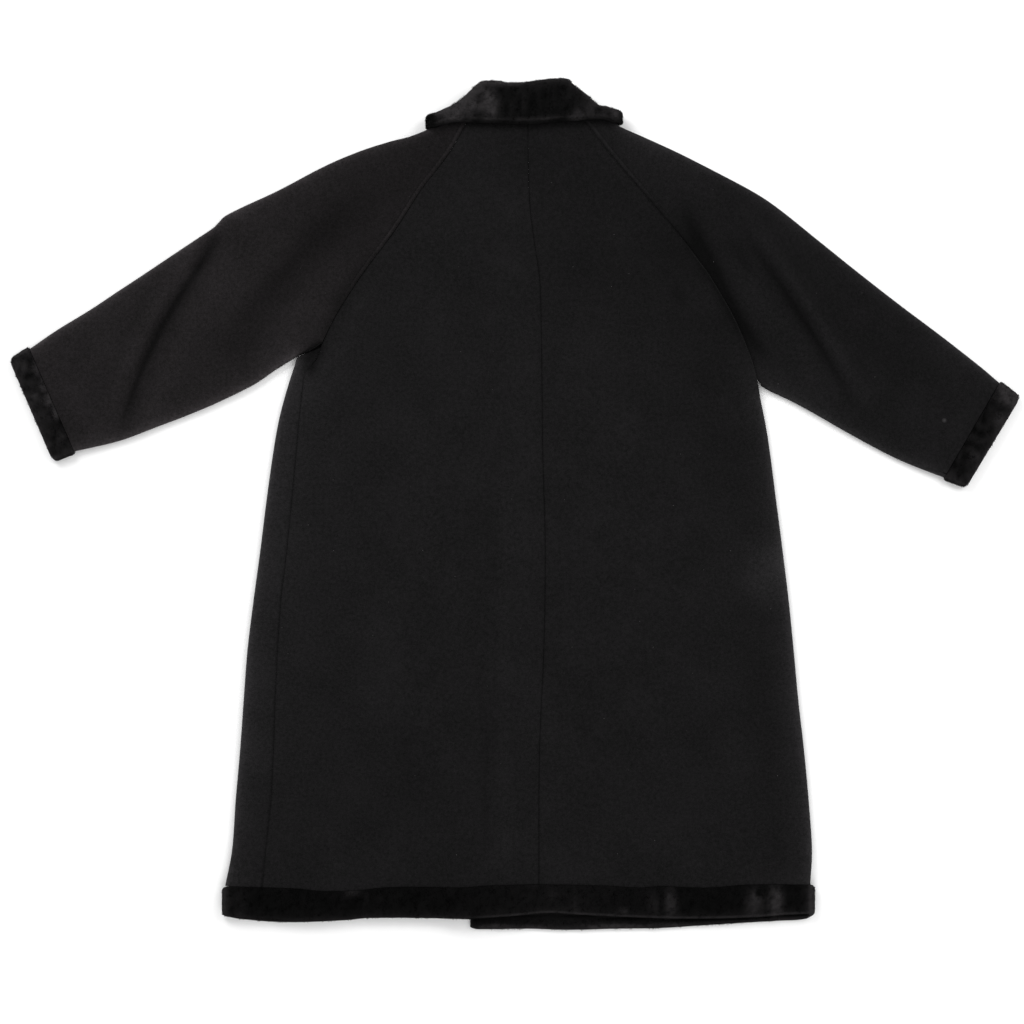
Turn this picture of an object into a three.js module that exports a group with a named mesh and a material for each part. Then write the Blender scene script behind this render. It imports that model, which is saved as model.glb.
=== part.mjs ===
// A wool raglan coat with a sheared-fur collar, cuffs and hem, laid flat on its front.
// Millimetres, +Z up. The back faces up, the neck points to +Y and the wearer's left is -X.
// Every piece is a wall of its cloth's thickness. The plies lie on each other, and pieces
// that are sewn together end SEAM apart.
import * as THREE from "three";

// ---------- driving dimensions ----------
const WOOL = 3; // wall of the brushed coat wool
const FUR = 7; // sheared fur on its leather
const SEAM = 0.3; // left open between two sewn pieces
const PLY = 1; // air between two plies
const EDGE_HEIGHT = 9.5; // two plies of wool at a folded edge
const SETTLE = 2.4; // how far the back sinks onto the fronts in the middle
const FUR_STEP = FUR + PLY; // from one fur ply to the next
const WOOL_STEP = WOOL + PLY;
const FUR_ROLL = FUR + PLY / 2; // outer radius where a fur band turns over
const HEM_Y = -534; // where wool ends and the fur hem starts, on the back
const ARMPIT_Y = 203;
const COVER_ROLL = 4; // outer radius of the edge that turns down over the right sleeve
const SHORT_TAIL = 1.5; // straight cloth left after a turn that goes no further
const CLOSING = { hemX: -42, neckX: 13, overlap: 20 }; // centre front, and the lap on each side
const NECK = { x: 13.5, y: 527, halfWidth: 123.3, drop: 102 };
const COLLAR_SPREAD = { x: 132, y: 180 }; // reach of the fall over the fronts
const COLLAR_LIFT = FUR + PLY - 0.2; // the fall lies under the fronts
const NECK_TOP = 19.5; // top of the back where it meets the collar
const CUFF_TOP = 12.5; // top of a sleeve where it meets the cuff

// ---------- the body's outline: one row for each level ----------
const SIDES = [
  { y: -534, leftFold: -405, leftSeam: -352.5, rightFold: 414, rightSeam: 368 },
  { y: -484, leftFold: -395.5, leftSeam: -348, rightFold: 416.5, rightSeam: 371 },
  { y: -414, leftFold: -390.5, leftSeam: -340.5, rightFold: 412, rightSeam: 368 },
  { y: -344, leftFold: -384.3, leftSeam: -337, rightFold: 405.5, rightSeam: 362 },
  { y: -274, leftFold: -379.3, leftSeam: -335, rightFold: 397.5, rightSeam: 355 },
  { y: -204, leftFold: -374, leftSeam: -331.5, rightFold: 391, rightSeam: 349 },
  { y: -134, leftFold: -365.5, leftSeam: -327, rightFold: 384, rightSeam: 342 },
  { y: -64, leftFold: -356, leftSeam: -318.5, rightFold: 375.5, rightSeam: 334 },
  { y: 6, leftFold: -347.3, leftSeam: -311.5, rightFold: 366.4, rightSeam: 326 },
  { y: 76, leftFold: -337.5, leftSeam: -305, rightFold: 357.4, rightSeam: 320 },
  { y: 116, leftFold: -330.5, leftSeam: -301.5, rightFold: 351, rightSeam: 322 },
  { y: 150, leftFold: -322, leftSeam: -298, rightFold: 344, rightSeam: 331 },
  { y: 183, leftFold: -312, leftSeam: -294.5, rightFold: 337.5, rightSeam: 331 },
  { y: 203, leftFold: -305, leftSeam: -277.5, rightFold: 331, rightSeam: 331 },
];
const CENTRE_SEAM = [
  { y: -534, x: 34 },
  { y: -344, x: 35 },
  { y: -204, x: 41 },
  { y: -64, x: 43 },
  { y: 76, x: 39.5 },
  { y: 216, x: 37.8 },
  { y: 316, x: 35 },
  { y: 370, x: 27 },
  { y: 426, x: 21 },
  { y: 540, x: 18 },
];
const RAGLAN_LEFT = [
  { y: 203, x: -277.5 },
  { y: 226, x: -269 },
  { y: 272, x: -245.5 },
  { y: 328, x: -209 },
  { y: 384, x: -167 },
  { y: 440, x: -130 },
  { y: 491, x: -91 },
  { y: 540, x: -63 },
];
const RAGLAN_RIGHT = [
  { y: 150, x: 344.2 },
  { y: 168, x: 341 },
  { y: 199, x: 333 },
  { y: 232, x: 320.5 },
  { y: 263, x: 306.5 },
  { y: 295, x: 288.5 },
  { y: 325, x: 270 },
  { y: 344, x: 256 },
  { y: 365, x: 240.5 },
  { y: 389, x: 221 },
  { y: 440, x: 176.5 },
  { y: 482, x: 140 },
  { y: 540, x: 94 },
];
// The right half of the back stands above the sleeve under it, and its edge turns down.
const RIGHT_EDGE = [
  { y: 90, lift: 0, turn: 180, tail: 1 },
  { y: 130, lift: 1, turn: 180, tail: 1 },
  { y: 150, lift: 2.5, turn: 180, tail: 0 },
  { y: 166, lift: 4.8, turn: 90, tail: 0 },
  { y: 199, lift: 6.4, turn: 90, tail: 0 },
  { y: 263, lift: 7, turn: 90, tail: 0 },
  { y: 325, lift: 6.6, turn: 90, tail: 0 },
  { y: 344, lift: 6, turn: 70, tail: 0 },
  { y: 365, lift: 4.4, turn: 8, tail: 0 },
  { y: 389, lift: 1.6, turn: 1, tail: 0 },
  { y: 410, lift: 0, turn: 0.5, tail: 0 },
];

// ---------- the sleeves' outlines ----------
const LEFT_OVERARM = [
  { x: -677.5, y: 219 },
  { x: -640, y: 245 },
  { x: -592, y: 274.5 },
  { x: -556, y: 298.5 },
  { x: -518, y: 323.5 },
  { x: -441, y: 375 },
  { x: -418, y: 391 },
  { x: -406, y: 404 },
  { x: -331, y: 440 },
  { x: -262, y: 476 },
  { x: -217, y: 494.7 },
  { x: -176, y: 507 },
  { x: -150, y: 513 },
  { x: -127, y: 521.5 },
  { x: -118, y: 526.5 },
  { x: -113.5, y: 530.2 },
];
const LEFT_UNDERARM = [
  { x: -615, y: 75 },
  { x: -552, y: 90 },
  { x: -496, y: 111 },
  { x: -454, y: 127 },
  { x: -412, y: 145 },
  { x: -363, y: 169.5 },
  { x: -335, y: 188.5 },
  { x: -305, y: 207 },
  { x: -286, y: 216.5 },
  { x: -270, y: 226 },
];
const RIGHT_OVERARM = [
  { x: 140.5, y: 535.4 },
  { x: 145, y: 530 },
  { x: 154, y: 525 },
  { x: 176, y: 515.5 },
  { x: 232, y: 491 },
  { x: 288, y: 463 },
  { x: 340, y: 435 },
  { x: 372, y: 413 },
  { x: 428, y: 368 },
  { x: 484, y: 323 },
  { x: 540, y: 279.5 },
  { x: 596, y: 237.5 },
  { x: 652, y: 193.5 },
  { x: 677.5, y: 171.5 },
];
const RIGHT_UNDERARM = [
  { x: 346, y: 166 },
  { x: 358, y: 159 },
  { x: 386, y: 146 },
  { x: 414, y: 131 },
  { x: 470, y: 99 },
  { x: 526, y: 69 },
  { x: 560, y: 54 },
  { x: 600.5, y: 38.5 },
];
// Where the right sleeve's back half runs on under the body, up to the seam that shows.
const RIGHT_TUCK = [
  { x: 346, y: 166 },
  { x: 337, y: 180 },
  { x: 324, y: 203 },
  { x: 308, y: 234 },
  { x: 294, y: 264 },
  { x: 276, y: 296 },
  { x: 257, y: 326 },
  { x: 244, y: 345 },
];
const FRONT_RAGLAN_LEFT = [
  { x: -304, y: 204 },
  { x: -262, y: 262 },
  { x: -205, y: 345 },
  { x: -150, y: 425 },
];
const FRONT_RAGLAN_RIGHT = [
  { x: 337, y: 172 },
  { x: 296, y: 250 },
  { x: 240, y: 338 },
  { x: 182, y: 422 },
];
const CUFFS = {
  left: {
    inner: { under: [-615.6, 74.6], over: [-678.2, 218.6] },
    outer: { under: [-646, 63], over: [-705.5, 201.5] },
  },
  right: {
    inner: { under: [601.1, 38.1], over: [678.2, 171] },
    outer: { under: [632.5, 26.5], over: [706.3, 149] },
  },
};

// ---------- the collar: one row for each station along the back of the neck ----------
const COLLAR_BACK = [
  { x: -109.8, neck: 532, roll: 547.5, fall: 528 },
  { x: -98, neck: 535, roll: 552.5, fall: 531 },
  { x: -88, neck: 537, roll: 557, fall: 532 },
  { x: -75, neck: 538, roll: 565, fall: 532.5 },
  { x: -63, neck: 539, roll: 577, fall: 532 },
  { x: -47, neck: 539, roll: 590, fall: 531 },
  { x: -28, neck: 539, roll: 592, fall: 530.5 },
  { x: -8, neck: 539, roll: 589, fall: 530 },
  { x: 15, neck: 539, roll: 590, fall: 529 },
  { x: 45, neck: 540, roll: 594, fall: 531 },
  { x: 74, neck: 540, roll: 594, fall: 533.5 },
  { x: 84, neck: 540, roll: 585, fall: 534 },
  { x: 95, neck: 541, roll: 576.5, fall: 535 },
  { x: 106, neck: 541, roll: 567.5, fall: 535.5 },
  { x: 117, neck: 541, roll: 558, fall: 536 },
  { x: 128, neck: 540, roll: 556, fall: 534 },
  { x: 136.8, neck: 537, roll: 553, fall: 531 },
];
const COLLAR = { frontRoll: 12, fallAngle: 80, flare: 3 };
const COLLAR_HALF = (FUR + 0.8) / 2; // between the middles of the stand and its turn
const COLLAR_AXIS_Z = FUR / 2 + 3 * COLLAR_HALF; // the neck loop lies flat round this height

// ---------- folds: each lies along an arc from one end over a middle point to the other ----------
const FOLDS = [
  { part: "left sleeve crease", from: [-428, 352], over: [-497, 250], to: [-552, 110], high: -2.6, reach: 8 },
  { part: "its cuff side", from: [-452, 352], over: [-515, 262], to: [-570, 140], high: 5, reach: 15 },
  { part: "its body side", from: [-405, 345], over: [-470, 232], to: [-525, 112], high: 3, reach: 15 },
  { part: "left sleeve hollow", from: [-225, 408], over: [-318, 322], to: [-420, 205], high: -2, reach: 22 },
  { part: "ridge above it", from: [-260, 430], over: [-365, 345], to: [-440, 240], high: 4, reach: 26 },
  { part: "ridge below it", from: [-240, 345], over: [-300, 275], to: [-390, 175], high: 4, reach: 20 },
  { part: "left armhole", from: [-215, 345], over: [-255, 280], to: [-285, 226], high: -2.4, reach: 9 },
  { part: "left body edge", from: [-185, 335], over: [-228, 262], to: [-262, 190], high: 1.8, reach: 14 },
  { part: "right sleeve crease", from: [335, 366], over: [400, 275], to: [480, 142], high: -2.6, reach: 9 },
  { part: "ridge beyond it", from: [330, 405], over: [412, 285], to: [500, 140], high: 6, reach: 15 },
  { part: "ridge before it", from: [312, 335], over: [375, 260], to: [450, 140], high: 3.4, reach: 13 },
  { part: "small hollow", from: [300, 378], over: [318, 350], to: [334, 322], high: -1.6, reach: 8 },
  { part: "right armhole", from: [250, 372], over: [300, 296], to: [345, 178], high: -2.4, reach: 13 },
  { part: "front edge below", from: [-14, 10], over: [-20, -240], to: [-24, -505], high: 1.2, reach: 12 },
];
const FOLD_STEPS = 14;

// ---------- grids ----------
const SIDE_ROWS = [
  -534 + SEAM / 2, -514, -488, -456, -420, -370, -310, -250, -190, -130, -70, -10,
  45, 90, 115, 135, 150, 158, 166, 183, ARMPIT_Y,
];
const UPPER_ROWS = [226, 250, 274, 300, 325, 344, 365, 389, 414, 440, 466, 491, 516];
const BACK_COLUMNS = 12;
const TURN = { steps: 4, tailSteps: 1 }; // flat faces round a turned edge and past it
// Shares of a sleeve's length at which its sections lie: close together at the neck.
const SLEEVE_SHARES = [
  0, 0.008, 0.024, 0.06, 0.11, 0.17, 0.23, 0.29, 0.35, 0.41, 0.47, 0.53, 0.6, 0.68, 0.76, 0.85, 0.93, 1,
];

const lerp = THREE.MathUtils.lerp;
const smooth = THREE.MathUtils.smoothstep; // (value, from, to)
const RAD = Math.PI / 180;

// A smooth curve through a table: column `key` where column `by` is t.
function read(table, by, key, t) {
  const last = table.length - 1;
  let i = 0;
  while (i < last - 1 && t > table[i + 1][by]) i += 1;
  const slope = (a, b) => (table[b][key] - table[a][key]) / (table[b][by] - table[a][by]);
  const m0 = i > 0 ? slope(i - 1, i + 1) : slope(0, 1);
  const m1 = i < last - 1 ? slope(i, i + 2) : slope(last - 1, last);
  const h = table[i + 1][by] - table[i][by];
  const s = THREE.MathUtils.clamp((t - table[i][by]) / h, 0, 1);
  const value = (2 * s ** 3 - 3 * s ** 2 + 1) * table[i][key] + (3 * s ** 2 - 2 * s ** 3) * table[i + 1][key];
  return value + (s ** 3 - 2 * s ** 2 + s) * h * m0 + (s ** 3 - s ** 2) * h * m1;
}

// Straight between the rows of a table.
function readStraight(table, by, key, t) {
  let i = 0;
  while (i < table.length - 2 && t > table[i + 1][by]) i += 1;
  const s = THREE.MathUtils.clamp((t - table[i][by]) / (table[i + 1][by] - table[i][by]), 0, 1);
  return lerp(table[i][key], table[i + 1][key], s);
}

const range = (count) => Array.from({ length: count }, (_, i) => i / (count - 1));

// ---------- heights over the floor ----------
const centreFront = (y) => lerp(CLOSING.hemX, CLOSING.neckX, (y - HEM_Y) / (NECK.y - NECK.drop - HEM_Y));
const nearHem = (y) => 1 - smooth(y, HEM_Y + 10, HEM_Y + 110);

// How far out a point is from the neck, with 1 at the edge of the collar's fall.
const fromNeck = (x, y) => Math.hypot((x - NECK.x) / COLLAR_SPREAD.x, (y - NECK.y) / COLLAR_SPREAD.y);

const foldPaths = FOLDS.map(({ from, over, to, high, reach }) => {
  const control = [0, 1].map((k) => 2 * over[k] - (from[k] + to[k]) / 2);
  const curve = new THREE.QuadraticBezierCurve(
    new THREE.Vector2(...from),
    new THREE.Vector2(...control),
    new THREE.Vector2(...to),
  );
  return { points: curve.getPoints(FOLD_STEPS), high, reach };
});

// The folds' height at a point. Each fades out at both ends.
function relief(x, y) {
  let sum = 0;
  for (const { points, high, reach } of foldPaths) {
    let best = Infinity;
    let at = 0;
    points.slice(1).forEach((b, i) => {
      const a = points[i];
      const length2 = a.distanceToSquared(b);
      const s = THREE.MathUtils.clamp(((x - a.x) * (b.x - a.x) + (y - a.y) * (b.y - a.y)) / length2, 0, 1);
      const far = Math.hypot(x - lerp(a.x, b.x, s), y - lerp(a.y, b.y, s));
      if (far < best) {
        best = far;
        at = (i + s) / FOLD_STEPS;
      }
    });
    sum += high * Math.exp(-((best / reach) ** 2)) * Math.sin(Math.PI * lerp(0.06, 0.94, at)) ** 0.7;
  }
  return sum;
}

// Underside of the plies that lie on the floor: only the collar lifts them.
const floorLevel = (x, y) => COLLAR_LIFT * (1 - smooth(fromNeck(x, y), 1.15, 1.9));

// Underside of the left front, which lies over the right one at the closing.
function leftFrontLevel(x, y) {
  const over = smooth(x, centreFront(y) - 63, centreFront(y) - 28);
  return floorLevel(x, y) + over * lerp(WOOL_STEP, FUR_STEP + 1, nearHem(y));
}

// How much of the closing lies under a point of the back, from 0 to 1.
const overClosing = (x, y, flat, fade) => 1 - smooth(Math.abs(x - centreFront(y)), flat, flat + fade);

// Outside of the top ply, of the back and of the sleeves.
function topLevel(x, y) {
  const middle = Math.hypot((x - 30) / 310, (y + 110) / 470);
  const settled = SETTLE * (1 - smooth(middle, 0.6, 1));
  const lap = overClosing(x, y, 26, 40);
  const plain = floorLevel(x, y) + EDGE_HEIGHT - settled + WOOL_STEP * lap + relief(x, y);
  const hem = FUR_STEP + 4.5 + FUR_STEP * overClosing(x, y, 30, 50);
  const body = lerp(plain, hem, nearHem(y));
  return lerp(NECK_TOP, body, smooth(fromNeck(x, y), 1, 1.35));
}

// A sleeve rises a little to meet its cuff.
function sleeveLevel(x, y) {
  const { under, over } = (x < 0 ? CUFFS.left : CUFFS.right).inner;
  const along = [over[0] - under[0], over[1] - under[1]];
  const fromCuff = Math.abs((x - under[0]) * along[1] - (y - under[1]) * along[0]) / Math.hypot(...along);
  return lerp(CUFF_TOP, topLevel(x, y), smooth(fromCuff, 6, 75));
}

// ---------- walls ----------
// A solid between two grids of points. `ring` joins the last column to the first.
function wall(name, outer, inner, material, ring = false) {
  const rows = outer.length;
  const columns = outer[0].length;
  const positions = [];
  [outer, inner].forEach((grid) => grid.forEach((row) => row.forEach((p) => positions.push(p.x, p.y, p.z))));
  const id = (side, r, c) => side * rows * columns + r * columns + (c % columns);
  const index = [];
  const quad = (a, b, c, d) => index.push(a, b, c, a, c, d);
  const spans = ring ? columns : columns - 1;
  for (let r = 0; r < rows - 1; r += 1) {
    for (let c = 0; c < spans; c += 1) {
      quad(id(0, r, c), id(0, r, c + 1), id(0, r + 1, c + 1), id(0, r + 1, c));
      quad(id(1, r, c), id(1, r + 1, c), id(1, r + 1, c + 1), id(1, r, c + 1));
    }
  }
  for (let c = 0; c < spans; c += 1) {
    quad(id(0, 0, c), id(1, 0, c), id(1, 0, c + 1), id(0, 0, c + 1));
    quad(id(0, rows - 1, c + 1), id(1, rows - 1, c + 1), id(1, rows - 1, c), id(0, rows - 1, c));
  }
  for (let r = 0; r < rows - 1 && !ring; r += 1) {
    quad(id(0, r + 1, 0), id(1, r + 1, 0), id(1, r, 0), id(0, r, 0));
    quad(id(0, r, columns - 1), id(1, r, columns - 1), id(1, r + 1, columns - 1), id(0, r + 1, columns - 1));
  }
  const geometry = new THREE.BufferGeometry();
  geometry.setAttribute("position", new THREE.Float32BufferAttribute(positions, 3));
  geometry.setIndex(volume(positions, index) < 0 ? index.reverse() : index);
  geometry.computeVertexNormals();
  const mesh = new THREE.Mesh(geometry, material.clone());
  mesh.name = name;
  return mesh;
}

function volume(positions, index) {
  const at = (i) => new THREE.Vector3().fromArray(positions, 3 * i);
  let sum = 0;
  for (let i = 0; i < index.length; i += 3) {
    sum += at(index[i]).dot(at(index[i + 1]).cross(at(index[i + 2])));
  }
  return sum;
}

// A skin point: its place on the outside of the cloth and the way that side faces.
const skin = (x, y, z, nx, ny, nz) => ({
  at: new THREE.Vector3(x, y, z),
  out: new THREE.Vector3(nx, ny, nz),
});

// Turns a grid of skin points into a wall. `full` thins a row towards its own middle.
function wallOfSkin(name, grid, thick, material, full = () => 1, ring = false) {
  const rows = grid.length;
  const layer = (depth) =>
    grid.map((row, r) =>
      row.map(({ at, out }) => {
        const share = full(rows > 1 ? r / (rows - 1) : 0);
        const inwards = thick / 2 + (depth - 0.5) * thick * share;
        return at.clone().addScaledVector(out, -inwards);
      }),
    );
  return wall(name, layer(0), layer(1), material, ring);
}

// The edge of a ply that turns over: points round the turn and along what follows it.
// `way` is the direction outwards in plan and `up` is 1 for a top ply, -1 for one on the floor.
function turnedEdge({ x, y, z, way, up, radius, turn, tail, steps, tailSteps }) {
  const points = [];
  const place = (along, drop, a) =>
    skin(
      x + way[0] * along,
      y + way[1] * along,
      z - up * drop,
      way[0] * Math.sin(a),
      way[1] * Math.sin(a),
      up * Math.cos(a),
    );
  for (let i = 1; i <= steps; i += 1) {
    const a = (turn * i) / steps;
    points.push(place(radius * Math.sin(a), radius * (1 - Math.cos(a)), a));
  }
  for (let i = 1; i <= tailSteps; i += 1) {
    const s = (tail * i) / tailSteps;
    const along = radius * Math.sin(turn) + s * Math.cos(turn);
    points.push(place(along, radius * (1 - Math.cos(turn)) + s * Math.sin(turn), turn));
  }
  return points;
}

// A patch between four edges, each a function of 0..1 that gives [x, y].
function patch(bottom, top, left, right) {
  const mix = (u, v, k) => {
    const low = (1 - v) * ((1 - u) * bottom(0)[k] + u * bottom(1)[k]);
    const corners = low + v * ((1 - u) * top(0)[k] + u * top(1)[k]);
    return (1 - v) * bottom(u)[k] + v * top(u)[k] + (1 - u) * left(v)[k] + u * right(v)[k] - corners;
  };
  return (u, v) => [mix(u, v, 0), mix(u, v, 1)];
}

// A polyline as a function of 0..1 of its length, with the shares at which its corners lie.
function polyline(points) {
  const reach = [0];
  points.slice(1).forEach((p, i) => {
    reach.push(reach[i] + Math.hypot(p[0] - points[i][0], p[1] - points[i][1]));
  });
  const shares = reach.map((r) => r / reach[reach.length - 1]);
  const rows = points.map((p, i) => ({ s: shares[i], x: p[0], y: p[1] }));
  const at = (s) => [readStraight(rows, "s", "x", s), readStraight(rows, "s", "y", s)];
  return { at, shares };
}

const straight = (a, b) => (s) => [lerp(a[0], b[0], s), lerp(a[1], b[1], s)];
const pairs = (table) => table.map(({ x, y }) => [x, y]);
const shift = (points, dx, dy = 0) => points.map(([x, y]) => [x + dx, y + dy]);
const alongX = (table, from, to) => (s) => {
  const x = lerp(from, to, s);
  return [x, read(table, "x", "y", x)];
};

// ---------- the neckline ----------
const LEFT_SHOULDER = [-113.5, 530.2];
const RIGHT_SHOULDER = [140.5, 535.4];
const neckBack = (x) => readStraight(COLLAR_BACK, "x", "neck", x);

// The front of the neckline: 0 at the side, 90 degrees at its lowest point.
function neckFront(side, degrees) {
  const start = side < 0 ? COLLAR_BACK[0].neck : COLLAR_BACK[COLLAR_BACK.length - 1].neck;
  const drop = start - (NECK.y - NECK.drop);
  return [
    NECK.x + side * NECK.halfWidth * Math.cos(degrees * RAD),
    start - drop * Math.sin(degrees * RAD),
  ];
}
const FRONT_NECK_DEGREES = [25, 40, 55, 68, 80, 87];
const SIDE_NECK_DEGREES = [25, 12];

// ---------- the back ----------
const backRows = [...SIDE_ROWS, ...UPPER_ROWS];
function leftEdge(y) {
  const seam = y < ARMPIT_Y ? readStraight(SIDES, "y", "leftSeam", y) : read(RAGLAN_LEFT, "y", "x", y);
  return seam + SEAM / 2;
}
const centre = (y) => read(CENTRE_SEAM, "y", "x", y);

function backLeft(wool) {
  const line = (y, neck) => range(BACK_COLUMNS).map((u) => {
    const x = lerp(leftEdge(y), centre(y) - SEAM / 2, u);
    const edge = neck ? neckBack(x) - SEAM : y;
    return skin(x, edge, topLevel(x, edge), 0, 0, 1);
  });
  const grid = backRows.map((y) => line(y, false));
  grid.push(line(neckBack(-30) - SEAM, true));
  return wallOfSkin("back_left", grid, WOOL, wool);
}

// The right half's outer line: the fold of the body, then the edge that covers the sleeve.
const SIDE_FOLD_TOP = 150; // above this level the edge lies on the sleeve
function rightEdge(y) {
  return y < SIDE_FOLD_TOP ? read(SIDES, "y", "rightFold", y) : read(RAGLAN_RIGHT, "y", "x", y) - SEAM / 2;
}
const edgeStyle = (y, key) => readStraight(RIGHT_EDGE, "y", key, y);

function rightTop(x, y) {
  const inward = (rightEdge(y) - x) / 75;
  return topLevel(x, y) + edgeStyle(y, "lift") * (1 - smooth(inward, 0, 1));
}

function backRight(wool) {
  const line = (y, neck) => {
    const turn = edgeStyle(y, "turn") * RAD;
    const edge = rightEdge(y);
    const under = smooth(turn, Math.PI / 2, Math.PI);
    const rollFrom = (x) => lerp(COVER_ROLL, rightTop(x, y) / 2, under);
    const first = rollFrom(edge - EDGE_HEIGHT / 2);
    const underWidth = edge - first - read(SIDES, "y", "rightSeam", y) - SEAM / 2;
    const tail = lerp(SHORT_TAIL, Math.max(underWidth, SHORT_TAIL), edgeStyle(y, "tail"));
    const reach = first * Math.sin(Math.min(turn, Math.PI / 2)) + Math.max(0, tail * Math.cos(turn));
    const from = edge - reach;
    const radius = rollFrom(from);
    const row = range(BACK_COLUMNS).map((u) => {
      const x = lerp(centre(y) + SEAM / 2, from, u);
      const place = neck ? neckBack(x) - SEAM : y;
      return skin(x, place, rightTop(x, place), 0, 0, 1);
    });
    const end = row[row.length - 1].at;
    const turned = { x: end.x, y: end.y, z: end.z, way: [1, 0], up: 1, radius, turn, tail, ...TURN };
    return row.concat(turnedEdge(turned));
  };
  const grid = backRows.map((y) => line(y, false));
  grid.push(line(neckBack(60) - SEAM, true));
  return wallOfSkin("back_right", grid, WOOL, wool);
}

// ---------- the fronts ----------
const RIGHT_ARMPIT = [331, 160]; // of the right front, on the floor
const frontHem = (x) => lerp(-534, -541, (x + 403) / 400);
const rightFrontHem = (x) => lerp(-549, -535, (x + 62) / 430);

function frontLeft(wool) {
  const rows = SIDE_ROWS;
  const share = (y) => (y - rows[0]) / (rows[rows.length - 1] - rows[0]);
  const fold = rows.map((y) => {
    const edge = read(SIDES, "y", "leftFold", y);
    const radius = topLevel(edge + 6, y) / 2;
    return { y, edge, radius, from: edge + radius };
  });
  const end = fold[fold.length - 1];
  const neck = FRONT_NECK_DEGREES.map((d) => neckFront(-1, d));
  const tip = [NECK.x + CLOSING.overlap, NECK.y - NECK.drop];
  const sewn = shift([...pairs(FRONT_RAGLAN_LEFT).slice(1), ...neck, tip], 0, -SEAM);
  const over = polyline([[end.from, end.y], ...sewn]);
  const hemEnd = centreFront(HEM_Y) + CLOSING.overlap;
  const bottom = (u) => {
    const x = lerp(fold[0].from, hemEnd, u);
    return [x, frontHem(x) + SEAM / 2];
  };
  const left = (v) => {
    const y = lerp(rows[0], end.y, v);
    return [readStraight(fold, "y", "from", y), y];
  };
  const right = straight([hemEnd, frontHem(hemEnd) + SEAM / 2], over.at(1));
  const flat = patch(bottom, over.at, left, right);
  const columns = [...range(9).slice(0, -1).map((t) => t * over.shares[4]), ...over.shares.slice(4)];
  const grid = rows.map((y, r) => {
    const { from, radius } = fold[r];
    const z = leftFrontLevel(from, y);
    const width = leftEdge(y) - SEAM - from;
    const turn = { radius, turn: Math.PI, tail: width, ...TURN };
    const wrap = turnedEdge({ x: from, y, z, way: [-1, 0], up: -1, ...turn });
    const floor = columns.map((u) => {
      const [x, py] = flat(u, share(y));
      return skin(x, py, leftFrontLevel(x, py), 0, 0, -1);
    });
    return wrap.reverse().concat(floor);
  });
  return wallOfSkin("front_left", grid, WOOL, wool);
}

function frontRight(wool) {
  const rows = SIDE_ROWS;
  const start = [centreFront(HEM_Y) - CLOSING.overlap, rightFrontHem(-62) + SEAM / 2];
  const neck = FRONT_NECK_DEGREES.map((d) => neckFront(1, d)).reverse();
  const raglan = pairs(FRONT_RAGLAN_RIGHT).slice(1).reverse();
  const tip = [NECK.x - CLOSING.overlap, NECK.y - NECK.drop];
  const sideX = (y) => read(SIDES, "y", "rightSeam", y) - SEAM / 2;
  const top = polyline(shift([tip, ...neck, ...raglan, RIGHT_ARMPIT], 0, -SEAM));
  const last = top.at(1);
  const side = (v) => {
    const y = lerp(HEM_Y, last[1], v);
    return [v === 1 ? last[0] : sideX(y), y];
  };
  const hemEnd = side(0);
  const bottom = (u) => {
    const x = lerp(start[0], hemEnd[0], u);
    return [x, lerp(start[1], hemEnd[1] + SEAM / 2, u)];
  };
  const flat = patch(bottom, top.at, straight(start, top.at(0)), side);
  const grid = rows.map((y) => top.shares.map((u) => {
    const [x, py] = flat(u, (y - rows[0]) / (rows[rows.length - 1] - rows[0]));
    return skin(x, py, floorLevel(x, py), 0, 0, -1);
  }));
  return wallOfSkin("front_right", grid, WOOL, wool);
}

// ---------- the sleeves ----------
// Half a sleeve: `seam` runs up the armhole and along the neck, `cuff` along the cuff.
function sleeveHalf({ name, seam, cuff, under, over, up }, wool) {
  const armhole = polyline(seam);
  const flat = patch(armhole.at, straight(cuff[0], cuff[1]), under, over);
  const grid = SLEEVE_SHARES.map((v) => {
    const first = flat(0, v);
    const last = flat(1, v);
    const edge = (u, near) => {
      const here = flat(u, v);
      const next = flat(near, v);
      const length = Math.hypot(next[0] - here[0], next[1] - here[1]);
      return [(here[0] - next[0]) / length, (here[1] - next[1]) / length];
    };
    const underWay = edge(0, 0.02);
    const overWay = edge(1, 0.98);
    const level = (x, y) => (up > 0 ? sleeveLevel(x, y) : floorLevel(x, y));
    const radiusAt = ([x, y], way) => {
      const inset = (depth) => [x - depth * way[0], y - depth * way[1]];
      const half = (p) => (sleeveLevel(...p) - floorLevel(...p) - SEAM) / 2;
      return half(inset(half(inset(EDGE_HEIGHT / 2))));
    };
    const ends = [
      { point: first, way: underWay, radius: radiusAt(first, underWay) },
      { point: last, way: overWay, radius: radiusAt(last, overWay) },
    ];
    const turns = ends.map(({ point, way, radius }) => {
      const x = point[0] - way[0] * radius;
      const y = point[1] - way[1] * radius;
      const begin = skin(x, y, level(x, y), 0, 0, up);
      const quarter = { turn: Math.PI / 2, tail: 0, steps: 3, tailSteps: 0 };
      return [begin, ...turnedEdge({ x, y, z: begin.at.z, way, up, radius, ...quarter })];
    });
    const middle = armhole.shares.slice(1, -1).map((u) => {
      const [x, y] = flat(u, v);
      return skin(x, y, level(x, y), 0, 0, up);
    });
    return [...turns[0].reverse(), ...middle, ...turns[1]];
  });
  return wallOfSkin(name, grid, WOOL, wool);
}

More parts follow.
